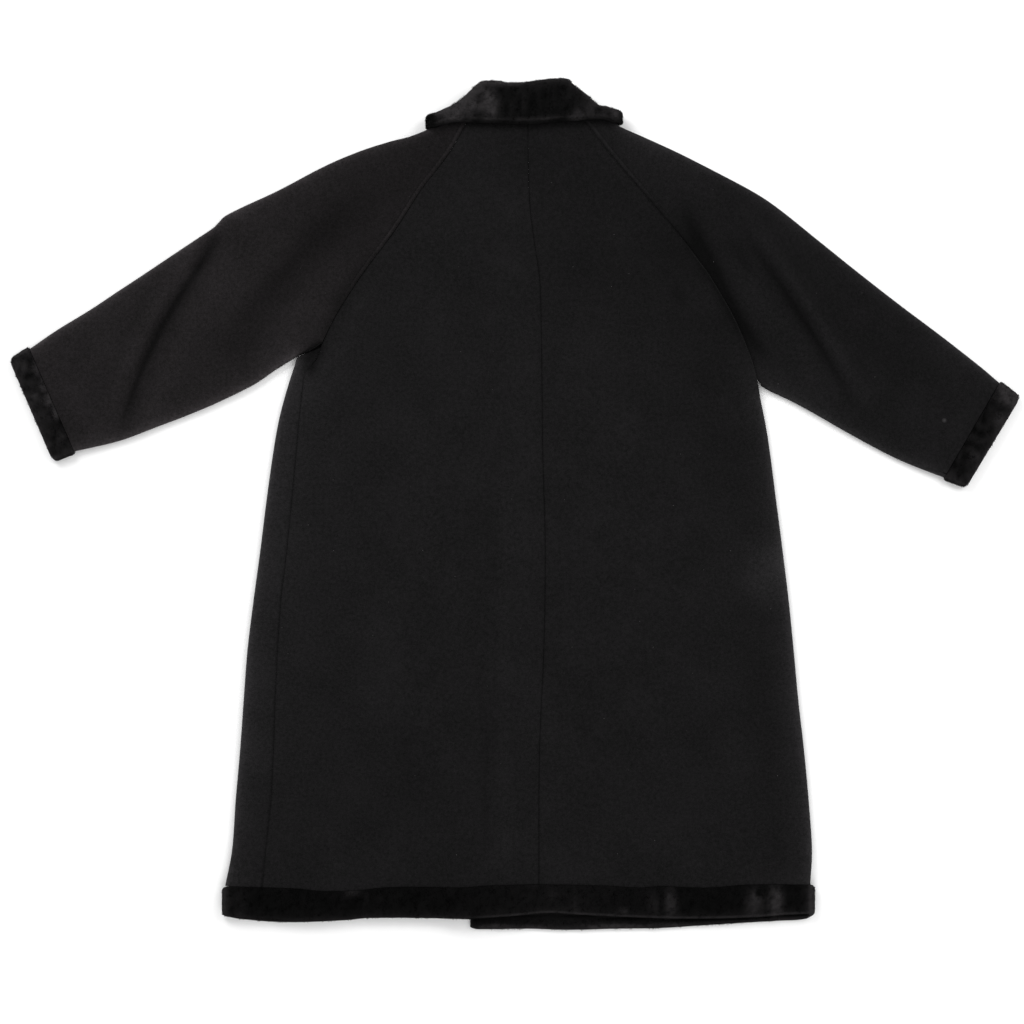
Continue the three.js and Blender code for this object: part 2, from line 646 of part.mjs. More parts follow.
function sleeves(wool) {
  const upper = UPPER_ROWS.map((y) => [read(RAGLAN_LEFT, "y", "x", y) - SEAM / 2, y]);
  const backTop = (x) => neckBack(x) - SEAM;
  const corner = (table, side, x) => [read(table, "y", "x", backTop(x)) + (side * SEAM) / 2, backTop(x)];
  const leftNeck = [corner(RAGLAN_LEFT, -1, -63), [-88, backTop(-88)], LEFT_SHOULDER];
  const seamShows = UPPER_ROWS.filter((y) => y >= 365);
  const rightShown = seamShows.map((y) => [read(RAGLAN_RIGHT, "y", "x", y) + SEAM / 2, y]);
  const rightNeck = [corner(RAGLAN_RIGHT, 1, 95), [117, backTop(117)], RIGHT_SHOULDER];
  const sideNeck = (side) => shift(SIDE_NECK_DEGREES.map((d) => neckFront(side, d)), side * SEAM, -SEAM);
  const cuffEnds = (side) => [side.inner.under, side.inner.over];
  const leftCuff = cuffEnds(CUFFS.left).map(([x, y]) => [x + SEAM * 1.5, y]);
  const rightCuff = cuffEnds(CUFFS.right).map(([x, y]) => [x - SEAM * 1.5, y]);
  const halves = [
    {
      name: "sleeve_left_back",
      seam: [...upper, ...leftNeck],
      cuff: leftCuff,
      under: alongX(LEFT_UNDERARM, -270, leftCuff[0][0]),
      over: alongX(LEFT_OVERARM, -113.5, leftCuff[1][0]),
      up: 1,
    },
    {
      name: "sleeve_left_front",
      seam: [...shift(pairs(FRONT_RAGLAN_LEFT), -SEAM / 2, 0.6), ...sideNeck(-1), LEFT_SHOULDER],
      cuff: leftCuff,
      under: alongX(LEFT_UNDERARM, -304, leftCuff[0][0]),
      over: alongX(LEFT_OVERARM, -113.5, leftCuff[1][0]),
      up: -1,
    },
    {
      name: "sleeve_right_back",
      seam: [...pairs(RIGHT_TUCK), ...rightShown, ...rightNeck],
      cuff: rightCuff,
      under: alongX(RIGHT_UNDERARM, 346, rightCuff[0][0]),
      over: alongX(RIGHT_OVERARM, 140.5, rightCuff[1][0]),
      up: 1,
    },
    {
      name: "sleeve_right_front",
      seam: [...shift(pairs(FRONT_RAGLAN_RIGHT), SEAM / 2, 0.6), ...sideNeck(1), RIGHT_SHOULDER],
      cuff: rightCuff,
      under: alongX(RIGHT_UNDERARM, 346, rightCuff[0][0]),
      over: alongX(RIGHT_OVERARM, 140.5, rightCuff[1][0]),
      up: -1,
    },
  ];
  return halves.map((half) => sleeveHalf(half, wool));
}

// ---------- the fur ----------
// How full the pile is across a strip that is open at its far side.
const ROUND_FROM = 0.8;
const EDGE_SHARE = 0.35; // thickness left at the very edge
const CORNER = 7; // radius of the rounded corners of a fur strip
const CUFF_BULGE = 4; // how far a cuff stands out past the edges of its sleeve
const CUFF_ROWS = [0, 0.1, 0.4, 0.8, 0.93, 1];

function roundedEnd(v) {
  const past = Math.max(0, (v - ROUND_FROM) / (1 - ROUND_FROM));
  return Math.sqrt(1 - (1 - EDGE_SHARE ** 2) * past ** 2);
}

// How far a rounded corner draws a side in, at a place `far` along it from the corner.
function cornerInset(far, radius) {
  return far < radius ? radius - Math.sqrt(radius ** 2 - (radius - far) ** 2) : 0;
}

function cuff(name, { inner, outer }, fur) {
  const turnSteps = 6;
  const flatSteps = 7;
  const depth = Math.hypot(outer.under[0] - inner.under[0], outer.under[1] - inner.under[1]);
  const grid = CUFF_ROWS.map((v) => {
    const low = straight(inner.under, outer.under)(v);
    const high = straight(inner.over, outer.over)(v);
    const span = Math.hypot(high[0] - low[0], high[1] - low[1]);
    const way = [(high[0] - low[0]) / span, (high[1] - low[1]) / span];
    const bulge = CUFF_BULGE - cornerInset(v * depth, CUFF_BULGE) - cornerInset((1 - v) * depth, CORNER);
    const under = [low[0] - way[0] * bulge, low[1] - way[1] * bulge];
    const over = [high[0] + way[0] * bulge, high[1] + way[1] * bulge];
    const length = span + 2 * bulge;
    const row = [];
    const end = (point, sign) => {
      for (let i = 0; i <= turnSteps; i += 1) {
        const a = (Math.PI * i) / turnSteps - Math.PI / 2;
        const along = sign * (Math.cos(a) - 1) * FUR_ROLL;
        const nz = sign * Math.sin(a);
        const height = FUR_ROLL * (1 + nz);
        const out = sign * Math.cos(a);
        const place = [point[0] + way[0] * along, point[1] + way[1] * along, height];
        row.push(skin(...place, way[0] * out, way[1] * out, nz));
      }
    };
    const run = (sign) => {
      for (let i = 1; i < flatSteps; i += 1) {
        const s = FUR_ROLL + ((length - 2 * FUR_ROLL) * i) / flatSteps;
        const at = sign > 0 ? length - s : s;
        const height = sign > 0 ? 2 * FUR_ROLL : 0;
        row.push(skin(under[0] + way[0] * at, under[1] + way[1] * at, height, 0, 0, sign));
      }
    };
    end(over, 1);
    run(1);
    end(under, -1);
    run(-1);
    return row;
  });
  const full = (v) => roundedEnd(CUFF_ROWS[Math.round(v * (CUFF_ROWS.length - 1))]);
  return wallOfSkin(name, grid, FUR, fur, full, true);
}

// Lower edges of the hem bands.
const BACK_HEM = [
  { x: -410, y: -573.3 },
  { x: -384, y: -576 },
  { x: -342, y: -577.5 },
  { x: -321, y: -579.6 },
  { x: -300, y: -581.7 },
  { x: -258, y: -580.5 },
  { x: -210, y: -577 },
  { x: -76, y: -577 },
  { x: 8, y: -572.5 },
  { x: 50, y: -570 },
  { x: 92, y: -572.5 },
  { x: 190, y: -577 },
  { x: 260, y: -578 },
  { x: 316, y: -576.7 },
  { x: 353, y: -574.7 },
  { x: 376, y: -572.7 },
  { x: 421, y: -571 },
];
const LEFT_FRONT_HEM = [
  { x: -410, y: -573.5 },
  { x: -395, y: -578 },
  { x: -372, y: -581 },
  { x: -340, y: -583.5 },
  { x: -305, y: -584.3 },
  { x: -265, y: -583 },
  { x: -230, y: -581 },
  { x: -205, y: -578.5 },
  { x: -22, y: -579 },
];
const RIGHT_FRONT_HEM = [
  { x: -62, y: -590 },
  { x: -45, y: -594 },
  { x: 20, y: -593.5 },
  { x: 75, y: -595 },
  { x: 140, y: -593.5 },
  { x: 204, y: -592.5 },
  { x: 260, y: -589 },
  { x: 323, y: -585 },
  { x: 376, y: -582 },
  { x: 398, y: -581 },
  { x: 421, y: -577 },
];
const BAND_DEPTH = 40;
const BAND_REACH = { left: -410, right: 421 }; // where the bands turn over at the sides
const BAND_TURN = { steps: 7, tailSteps: 2 };
const BAND_ROWS = [0, 0.1, 0.35, 0.7, 0.85, 0.94, 1];
const bandFullness = (v) => roundedEnd(BAND_ROWS[Math.round(v * (BAND_ROWS.length - 1))]);

// `edge` is the lower edge on the band's own side, and `farEdge` past the fold. It ends at `seam`.
function hemBand({ name, from, reach, steps, top, edge, farEdge, level, up, fold, seam }, fur) {
  const grid = BAND_ROWS.map((v) => {
    const inset = cornerInset(v * BAND_DEPTH, CORNER) + cornerInset((1 - v) * BAND_DEPTH, CORNER);
    const to = reach - fold * (FUR_ROLL + inset);
    const row = range(steps).map((u) => {
      const x = lerp(from, to, u);
      return skin(x, lerp(top(x), edge(x), v), level(x), 0, 0, up);
    });
    if (!fold) return row;
    const { x, y, z } = row[row.length - 1].at;
    const turn = { radius: FUR_ROLL, turn: Math.PI, tail: Math.abs(seam - to), ...BAND_TURN };
    const turned = turnedEdge({ x, y, z, way: [fold, 0], up, ...turn });
    turned.forEach(({ at }, i) => {
      at.y += v * smooth(i + 1, 0, BAND_TURN.steps) * (farEdge(at.x) - edge(to));
    });
    return row.concat(turned);
  });
  return wallOfSkin(name, grid, FUR, fur, bandFullness);
}

function hemBands(fur) {
  const backHem = (x) => read(BACK_HEM, "x", "y", x);
  const leftHem = (x) => read(LEFT_FRONT_HEM, "x", "y", x);
  const rightHem = (x) => read(RIGHT_FRONT_HEM, "x", "y", x);
  const rightSeam = SIDES[0].rightSeam;
  const bands = [
    {
      name: "hem_back",
      from: leftEdge(HEM_Y),
      reach: BAND_REACH.right,
      steps: 27,
      top: () => HEM_Y - SEAM / 2,
      edge: backHem,
      farEdge: rightHem,
      level: (x) => FUR_STEP + FUR + FUR_STEP * overClosing(x, HEM_Y, 30, 50),
      up: 1,
      fold: 1,
      seam: rightSeam + SEAM / 2,
    },
    {
      name: "hem_front_left",
      from: centreFront(HEM_Y) + CLOSING.overlap,
      reach: BAND_REACH.left,
      steps: 15,
      top: (x) => frontHem(x) - SEAM / 2,
      edge: leftHem,
      farEdge: backHem,
      level: (x) => FUR_STEP * smooth(x, centreFront(HEM_Y) - 63, centreFront(HEM_Y) - 28),
      up: -1,
      fold: -1,
      seam: leftEdge(HEM_Y) - SEAM,
    },
    {
      name: "hem_front_right",
      from: centreFront(HEM_Y) - CLOSING.overlap,
      reach: rightSeam - SEAM / 2,
      steps: 16,
      top: (x) => rightFrontHem(x) - SEAM / 2,
      edge: rightHem,
      level: () => 0,
      up: -1,
      fold: 0,
    },
  ];
  return bands.map((band) => hemBand(band, fur));
}

// Stations along the collar, from its left front end round the back to its right front end.
function collarStations() {
  const stations = [];
  const front = (side) => {
    const sideRow = side < 0 ? COLLAR_BACK[0] : COLLAR_BACK[COLLAR_BACK.length - 1];
    const angles = [0, ...SIDE_NECK_DEGREES.slice().reverse(), ...FRONT_NECK_DEGREES.slice(1)].reverse();
    return angles.map((degrees) => {
      const t = 1 - degrees / angles[0];
      const neck = neckFront(side, degrees);
      const fallAngle = lerp(COLLAR.fallAngle, 0, t) * RAD;
      const reach = COLLAR_SPREAD.x + COLLAR.flare;
      const fall = [
        NECK.x + side * lerp(reach, NECK.halfWidth, t ** 3) * Math.cos(fallAngle),
        sideRow.fall - (COLLAR_SPREAD.y - 2) * Math.sin(fallAngle),
      ];
      const out = [0, 0, -1];
      return { neck: [...neck, COLLAR_AXIS_Z - COLLAR_HALF], roll: COLLAR.frontRoll, fall, out };
    });
  };
  const turn = (side) => {
    const row = side < 0 ? COLLAR_BACK[0] : COLLAR_BACK[COLLAR_BACK.length - 1];
    return range(7).slice(1, -1).map((t) => {
      const a = Math.PI * (1 - t);
      const out = [side * Math.sin(a), 0, Math.cos(a)];
      const neck = [row.x + COLLAR_HALF * out[0], row.neck, COLLAR_AXIS_Z + COLLAR_HALF * out[2]];
      return { neck, roll: lerp(COLLAR.frontRoll, row.roll - row.neck, t), fall: [row.x, row.fall], out };
    });
  };
  stations.push(...front(-1), ...turn(-1));
  COLLAR_BACK.forEach(({ x, neck, roll, fall }) => {
    const place = [x, neck, COLLAR_AXIS_Z + COLLAR_HALF];
    stations.push({ neck: place, roll: roll - neck, fall: [x, fall], out: [0, 0, 1] });
  });
  stations.push(...turn(1).reverse(), ...front(1).reverse());
  return stations;
}

function collar(fur) {
  const columns = collarStations().map(({ neck, roll, fall, out }) => {
    const start = new THREE.Vector3(...neck);
    const outward = new THREE.Vector3(...out);
    const rise = new THREE.Vector3(0, 1, 0);
    const bend = start.clone().addScaledVector(rise, roll - COLLAR_HALF - FUR / 2);
    const axis = bend.clone().addScaledVector(outward, COLLAR_HALF);
    const end = new THREE.Vector3(fall[0], fall[1], start.z).addScaledVector(outward, 2 * COLLAR_HALF);
    if (Math.abs(out[0]) > 0) end.x = start.x + 2 * COLLAR_HALF * out[0];
    const points = [];
    [0, 0.5].forEach((t) => {
      points.push({ at: start.clone().lerp(bend, t), out: outward.clone().negate() });
    });
    range(5).forEach((t) => {
      const normal = outward.clone().multiplyScalar(-Math.cos(Math.PI * t));
      normal.addScaledVector(rise, Math.sin(Math.PI * t));
      points.push({ at: axis.clone().addScaledVector(normal, COLLAR_HALF), out: normal });
    });
    const top = bend.clone().addScaledVector(outward, 2 * COLLAR_HALF);
    [0.4, 0.8, 0.94, 1].forEach((t) => points.push({ at: top.clone().lerp(end, t), out: outward.clone() }));
    return points.map((p) => ({ at: p.at.addScaledVector(p.out, FUR / 2), out: p.out }));
  });
  const grid = columns[0].map((_, r) => columns.map((column) => column[r]));
  const last = grid.length - 1;
  const full = (v) => ({ [last]: 0.45, [last - 1]: 0.85 })[Math.round(v * last)] ?? 1;
  return wallOfSkin("collar", grid, FUR, fur, full);
}

// ---------- the coat ----------
function coat() {
  const wool = new THREE.MeshStandardMaterial({ color: "#1b1a1b", roughness: 0.95 });
  const fur = new THREE.MeshStandardMaterial({ color: "#0c0b0c", roughness: 0.7 });
  const pieces = [
    backLeft(wool),
    backRight(wool),
    frontLeft(wool),
    frontRight(wool),
    ...sleeves(wool),
    collar(fur),
    cuff("cuff_left", CUFFS.left, fur),
    cuff("cuff_right", CUFFS.right, fur),
    ...hemBands(fur),
  ];
  const group = new THREE.Group();
  pieces.forEach((piece) => group.add(piece));
  // The origin is under the middle of the coat, on the surface that it lies on.
  const box = new THREE.Box3().setFromObject(group);
  const middle = box.getCenter(new THREE.Vector3());
  group.position.set(-middle.x, -middle.y, -box.min.z);
  const frame = new THREE.Group();
  frame.add(group);
  return frame;
}

export default coat();
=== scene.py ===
"""A black brushed-wool raglan coat with sheared-fur collar, cuffs and hem, laid flat on its front.

Sizes are in millimetres until a mesh is made. X runs towards the wearer's right, Y towards the neck
and Z up out of the back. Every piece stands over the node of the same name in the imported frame.
"""

from __future__ import annotations

import logging
import math
from dataclasses import dataclass, field
from enum import Enum
from typing import Callable, Iterable, Sequence

import bpy
import numpy as np
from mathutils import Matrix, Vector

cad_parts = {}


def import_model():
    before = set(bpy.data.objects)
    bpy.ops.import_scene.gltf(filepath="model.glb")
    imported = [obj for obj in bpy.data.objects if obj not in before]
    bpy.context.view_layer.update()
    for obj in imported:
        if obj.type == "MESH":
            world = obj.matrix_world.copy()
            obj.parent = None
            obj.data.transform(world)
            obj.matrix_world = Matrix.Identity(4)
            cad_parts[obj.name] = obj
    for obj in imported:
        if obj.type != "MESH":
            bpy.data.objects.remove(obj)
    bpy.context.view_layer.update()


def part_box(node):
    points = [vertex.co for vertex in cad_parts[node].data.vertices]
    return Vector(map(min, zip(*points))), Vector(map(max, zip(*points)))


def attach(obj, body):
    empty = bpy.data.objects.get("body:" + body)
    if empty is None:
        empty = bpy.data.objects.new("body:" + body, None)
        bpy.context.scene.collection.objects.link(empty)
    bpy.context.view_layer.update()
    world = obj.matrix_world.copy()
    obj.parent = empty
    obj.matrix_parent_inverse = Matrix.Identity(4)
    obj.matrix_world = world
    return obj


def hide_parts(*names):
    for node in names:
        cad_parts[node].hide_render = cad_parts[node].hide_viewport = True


LOG = logging.getLogger("coat")
Array = np.ndarray
MM = 0.001

# ---------------------------------------------------------------- driving sizes
WOOL = 3.0  # wall of the brushed coat wool
FUR = 7.0  # sheared fur on its leather
SEAM = 0.3  # left open between two sewn pieces
PLY = 1.0  # air between two plies
EDGE_HEIGHT = 9.5
SETTLE = 2.4
FUR_STEP = FUR + PLY
WOOL_STEP = WOOL + PLY
FUR_ROLL = FUR + PLY / 2
HEM_Y = -534.0
ARMPIT_Y = 203.0
COVER_ROLL = 4.0
SHORT_TAIL = 1.5
CLOSING_HEM_X, CLOSING_NECK_X, OVERLAP = -42.0, 13.0, 20.0
NECK_X, NECK_Y, NECK_HALF, NECK_DROP = 13.5, 527.0, 123.3, 102.0
SPREAD_X, SPREAD_Y = 132.0, 180.0
COLLAR_LIFT = FUR + PLY - 0.2
NECK_TOP = 19.5
CUFF_TOP = 12.5
COLLAR_HALF = (FUR + 0.8) / 2
COLLAR_AXIS_Z = FUR / 2 + 3 * COLLAR_HALF
CORNER = 7.0  # radius of the rounded corners of a fur strip
FREE_CORNER = 4.0  # the same at a hem's free edge, where the pile fills it out
CUFF_BULGE = 4.0  # how far a cuff stands out past the edges of its sleeve
BAND_DEPTH = 40.0
BAND_LEFT, BAND_RIGHT = -410.0, 421.0  # where the hem bands turn over at the sides
TOP_ROW_Y = 516.0  # above this the back's rows bend to the neckline


class Table:
    """A short table with named columns that is read between its rows."""

    def __init__(self, **columns: Sequence[float]) -> None:
        """Keep the columns as arrays."""
        self.columns = {name: np.array(values, float) for name, values in columns.items()}

    def straight(self, by: str, key: str, at: Array | float) -> Array:
        """Read column `key` where column `by` is `at`, straight between rows."""
        return np.interp(at, self.columns[by], self.columns[key])

    def smooth(self, by: str, key: str, at: Array | float) -> Array:
        """Read column `key` where column `by` is `at`, on one smooth curve.

        Args:
            by: The column to look along, which rises.
            key: The column to read.
            at: Where to read it.

        Returns:
            The values there.
        """
        x, y = self.columns[by], self.columns[key]
        slopes = np.empty(len(x))
        slopes[1:-1] = (y[2:] - y[:-2]) / (x[2:] - x[:-2])
        slopes[0], slopes[-1] = (y[1] - y[0]) / (x[1] - x[0]), (y[-1] - y[-2]) / (x[-1] - x[-2])
        i = np.clip(np.searchsorted(x, at, side="right") - 1, 0, len(x) - 2)
        h = x[i + 1] - x[i]
        s = np.clip((at - x[i]) / h, 0, 1)
        value = (2 * s**3 - 3 * s**2 + 1) * y[i] + (3 * s**2 - 2 * s**3) * y[i + 1]
        return value + (s**3 - 2 * s**2 + s) * h * slopes[i] + (s**3 - s**2) * h * slopes[i + 1]

    def pairs(self) -> list[tuple[float, float]]:
        """Give the table's x and y columns as points."""
        return list(zip(self.columns["x"], self.columns["y"]))


SIDES = Table(
    y=(-534, -484, -414, -344, -274, -204, -134, -64, 6, 76, 116, 150, 183, 203),
    left_fold=(-405, -395.5, -390.5, -384.3, -379.3, -374, -365.5, -356, -347.3, -337.5, -330.5, -322,
               -312, -305),
    left_seam=(-352.5, -348, -340.5, -337, -335, -331.5, -327, -318.5, -311.5, -305, -301.5, -298,
               -294.5, -277.5),
    right_fold=(414, 416.5, 412, 405.5, 397.5, 391, 384, 375.5, 366.4, 357.4, 351, 344, 337.5, 331),
    right_seam=(368, 371, 368, 362, 355, 349, 342, 334, 326, 320, 322, 331, 331, 331),
)
CENTRE_SEAM = Table(
    y=(-534, -344, -204, -64, 76, 216, 316, 370, 426, 540),
    x=(34, 35, 41, 43, 39.5, 37.8, 35, 27, 21, 18),
)
RAGLAN_LEFT = Table(
    y=(203, 226, 272, 328, 384, 440, 491, 540),
    x=(-277.5, -269, -245.5, -209, -167, -130, -91, -63),
)
RAGLAN_RIGHT = Table(
    y=(150, 168, 199, 232, 263, 295, 325, 344, 365, 389, 440, 482, 540),
    x=(344.2, 341, 333, 320.5, 306.5, 288.5, 270, 256, 240.5, 221, 176.5, 140, 94),
)
RIGHT_EDGE = Table(
    y=(90, 130, 150, 166, 199, 263, 325, 344, 365, 389, 410),
    lift=(0, 1, 2.5, 4.8, 6.4, 7, 6.6, 6, 4.4, 1.6, 0),
    turn=(180, 180, 180, 90, 90, 90, 90, 70, 8, 1, 0.5),
    tail=(1, 1, 0, 0, 0, 0, 0, 0, 0, 0, 0),
)
LEFT_OVERARM = Table(
    x=(-677.5, -640, -592, -556, -518, -441, -418, -406, -331, -262, -217, -176, -150, -127, -118, -113.5),
    y=(219, 245, 274.5, 298.5, 323.5, 375, 391, 404, 440, 476, 494.7, 507, 513, 521.5, 526.5, 530.2),
)
LEFT_UNDERARM = Table(
    x=(-615, -552, -496, -454, -412, -363, -335, -305, -286, -270),
    y=(75, 90, 111, 127, 145, 169.5, 188.5, 207, 216.5, 226),
)
RIGHT_OVERARM = Table(
    x=(140.5, 145, 154, 176, 232, 288, 340, 372, 428, 484, 540, 596, 652, 677.5),
    y=(535.4, 530, 525, 515.5, 491, 463, 435, 413, 368, 323, 279.5, 237.5, 193.5, 171.5),
)
RIGHT_UNDERARM = Table(
    x=(346, 358, 386, 414, 470, 526, 560, 600.5),
    y=(166, 159, 146, 131, 99, 69, 54, 38.5),
)
RIGHT_TUCK = Table(x=(346, 337, 324, 308, 294, 276, 257, 244), y=(166, 180, 203, 234, 264, 296, 326, 345))
FRONT_RAGLAN_LEFT = Table(x=(-304, -262, -205, -150), y=(204, 262, 345, 425))
FRONT_RAGLAN_RIGHT = Table(x=(337, 296, 240, 182), y=(172, 250, 338, 422))
RIGHT_ARMPIT = (331.0, 160.0)
LEFT_SHOULDER = (-113.5, 530.2)
RIGHT_SHOULDER = (140.5, 535.4)
COLLAR_BACK = Table(
    x=(-109.8, -98, -88, -75, -63, -47, -28, -8, 15, 45, 74, 84, 95, 106, 117, 128, 136.8),
    neck=(532, 535, 537, 538, 539, 539, 539, 539, 539, 540, 540, 540, 541, 541, 541, 540, 537),
    roll=(547.5, 552.5, 557, 565, 577, 590, 592, 589, 590, 594, 594, 585, 576.5, 567.5, 558, 556, 553),
    fall=(524.5, 529, 531.5, 532.5, 532, 531, 530.5, 530, 529, 531, 533.5, 534, 535, 535.5, 536, 534, 531),
)
BACK_HEM = Table(
    x=(-410, -384, -342, -321, -300, -258, -210, -76, 8, 50, 92, 190, 260, 316, 353, 376, 421),
    y=(-573.3, -576, -577.5, -579.6, -581.7, -580.5, -577, -577, -572.5, -570, -572.5, -577, -578,
       -576.7, -574.7, -572.7, -571),
)
LEFT_FRONT_HEM = Table(
    x=(-410, -395, -372, -340, -305, -265, -230, -205, -22),
    y=(-573.5, -578, -581, -583.5, -584.3, -583, -581, -578.5, -579),
)
RIGHT_FRONT_HEM = Table(
    x=(-62, -54, 20, 75, 140, 204, 260, 323, 376, 398, 421),
    y=(-591, -594, -593.5, -595, -593.5, -592.5, -589, -585, -582, -581, -577),
)
HEM_LINE = Table(
    x=(-410, -378, -302, -277, -227, -176, -76, -25, 25, 126, 176, 202, 265, 328, 421),
    y=(-532, -533.4, -536.2, -539, -539, -534.2, -533.4, -530, -530, -532, -534.8, -532.7, -534.8,
       -530.6, -530.5),
)
FRONT_NECK_DEGREES = (25, 40, 55, 68, 80, 87)
SIDE_NECK_DEGREES = (25, 12)
FRONT_ROLL, FALL_DEGREES, FLARE = 12.0, 80.0, 3.0
LEFT_CUFF = ((-615.6, 74.6), (-678.2, 218.6), (-646.0, 63.0), (-705.5, 201.5))
RIGHT_CUFF = ((601.1, 38.1), (678.2, 171.0), (632.5, 26.5), (706.3, 149.0))


class Side(Enum):
    """The wearer's left or right, as the sign of X."""

    LEFT = -1
    RIGHT = 1


class Held(Enum):
    """How a sheet of cloth lies."""

    LAID = "laid"
    FOLDED = "folded"


@dataclass(frozen=True)
class Fold:
    """A soft ridge or trough that lies along an arc."""

    start: tuple[float, float]
    over: tuple[float, float]
    end: tuple[float, float]
    high: float
    reach: float
    steps: int = 14

    def path(self) -> Array:
        """Give points along the arc."""
        start, over, end = (np.array(p, float) for p in (self.start, self.over, self.end))
        control = 2 * over - (start + end) / 2
        t = np.linspace(0, 1, self.steps + 1)[:, None]
        return (1 - t) ** 2 * start + 2 * t * (1 - t) * control + t**2 * end

    def height(self, x: Array, y: Array) -> Array:
        """Give how far the fold raises the cloth at each point.

        Args:
            x: Places across.
            y: Places along.

        Returns:
            Heights in millimetres.
        """
        best = np.full(x.shape, np.inf)
        at = np.zeros(x.shape)
        path = self.path()
        for i, (a, b) in enumerate(zip(path[:-1], path[1:])):
            d = b - a
            s = np.clip(((x - a[0]) * d[0] + (y - a[1]) * d[1]) / (d @ d), 0, 1)
            far = np.hypot(x - a[0] - s * d[0], y - a[1] - s * d[1])
            nearer = far < best
            best = np.where(nearer, far, best)
            at = np.where(nearer, (i + s) / self.steps, at)
        fade = np.sin(math.pi * (0.06 + 0.88 * at)) ** 0.7
        return self.high * np.exp(-((best / self.reach) ** 2)) * fade


# The largest folds, which the solids have too.
MAIN_FOLDS = (
    Fold((-428, 352), (-497, 250), (-552, 110), -2.6, 8),  # left sleeve crease
    Fold((-452, 352), (-515, 262), (-570, 140), 5, 15),
    Fold((-405, 345), (-470, 232), (-525, 112), 3, 15),
    Fold((-225, 408), (-318, 322), (-420, 205), -2, 22),  # left sleeve hollow
    Fold((-260, 430), (-365, 345), (-440, 240), 4, 26),
    Fold((-240, 345), (-300, 275), (-390, 175), 4, 20),
    Fold((-215, 345), (-255, 280), (-285, 226), -2.4, 9),  # left armhole
    Fold((-185, 335), (-228, 262), (-262, 190), 1.8, 14),
    Fold((335, 366), (400, 275), (480, 142), -2.6, 9),  # right sleeve crease
    Fold((330, 405), (412, 285), (500, 140), 6, 15),
    Fold((312, 335), (375, 260), (450, 140), 3.4, 13),
    Fold((300, 378), (318, 350), (334, 322), -1.6, 8),
    Fold((250, 372), (300, 296), (345, 178), -2.4, 13),  # right armhole
    Fold((-14, 10), (-20, -240), (-24, -505), 1.2, 12),  # front edge under the back
)
# Small ones that only show in the light.
FINE_FOLDS = (
    Fold((-432, 352), (-498, 247), (-552, 112), -1.0, 4),
    Fold((340, 358), (404, 268), (474, 150), -0.9, 5),
    Fold((-262, 476), (-330, 452), (-404, 398), 1.2, 14),
    Fold((-400, 400), (-415, 385), (-432, 350), -1.4, 9),
    Fold((-560, 250), (-590, 210), (-610, 150), 1.2, 16),
    Fold((-300, 420), (-345, 380), (-380, 330), -1.0, 12),
    Fold((-470, 190), (-500, 160), (-540, 100), 1.4, 13),
    Fold((520, 250), (560, 190), (580, 110), 1.2, 18),
    Fold((230, 470), (270, 440), (300, 400), 1.2, 16),
    Fold((560, 230), (600, 170), (610, 90), -0.9, 14),
    Fold((420, 350), (470, 290), (540, 230), 1.3, 14),
    Fold((-258, 240), (-274, 215), (-292, 170), -1.4, 6),
    Fold((-292, 150), (-318, 60), (-330, -60), 0.9, 12),
    Fold((-182, -270), (-150, -370), (-176, -456), -1.0, 22),
    Fold((-160, -270), (-156, -278), (-150, -290), 1.0, 16),
    Fold((-262, -334), (-276, -362), (-290, -392), -0.8, 7),
    Fold((332, -60), (334, -88), (330, -110), 1.4, 14),
    Fold((345, -150), (356, -300), (352, -520), -1.2, 22),
    Fold((300, -170), (312, -330), (318, -500), 0.9, 18),
    Fold((60, 500), (70, 420), (60, 330), 0.5, 20),
    Fold((-12, 20), (-12, -240), (-10, -500), 0.7, 5),
    Fold((-41, -290), (-40, -400), (-42, -480), -0.9, 9),
    Fold((226, 298), (232, 292), (240, 284), -1.2, 8),
    Fold((110, -430), (160, -470), (230, -500), 0.8, 16),
    Fold((-110, 240), (-60, 255), (10, 240), 0.4, 16),
)


def ease(value: Array, low: float | Array, high: float | Array) -> Array:
    """Rise from 0 at `low` to 1 at `high` with soft ends."""
    s = np.clip((value - low) / (high - low), 0, 1)
    return s * s * (3 - 2 * s)


def mix(a: Array | float, b: Array | float, share: Array | float) -> Array:
    """Go from `a` to `b` by `share`."""
    return a + (b - a) * share


@dataclass(frozen=True)
class Shade:
    """A soft stripe or patch of painted shade where its amount is below zero and painted light where it is
    above, darker or lighter than the cloth round it.
    """

    points: tuple[tuple[float, float], ...]
    wide: float
    amount: float
    fades: bool = False  # whether it thins out towards its ends

    def at(self, x: Array, y: Array) -> Array:
        """Give the patch's part at each place."""
        line = Line(self.points)
        shares = np.linspace(0, 1, 13 if self.fades else 2)
        points = line.at(shares) if self.fades else np.array(self.points, float)
        total = np.zeros(np.shape(x))
        far = distance_to(points, x, y)
        if self.fades:
            a, b = points[0], points[-1]
            along = ((x - a[0]) * (b[0] - a[0]) + (y - a[1]) * (b[1] - a[1])) / ((b - a) @ (b - a))
            total += np.exp(-((far / self.wide) ** 2)) * np.sin(math.pi * np.clip(along, 0.02, 0.98)) ** 0.6
        else:
            total += np.exp(-((far / self.wide) ** 2))
        return self.amount * total
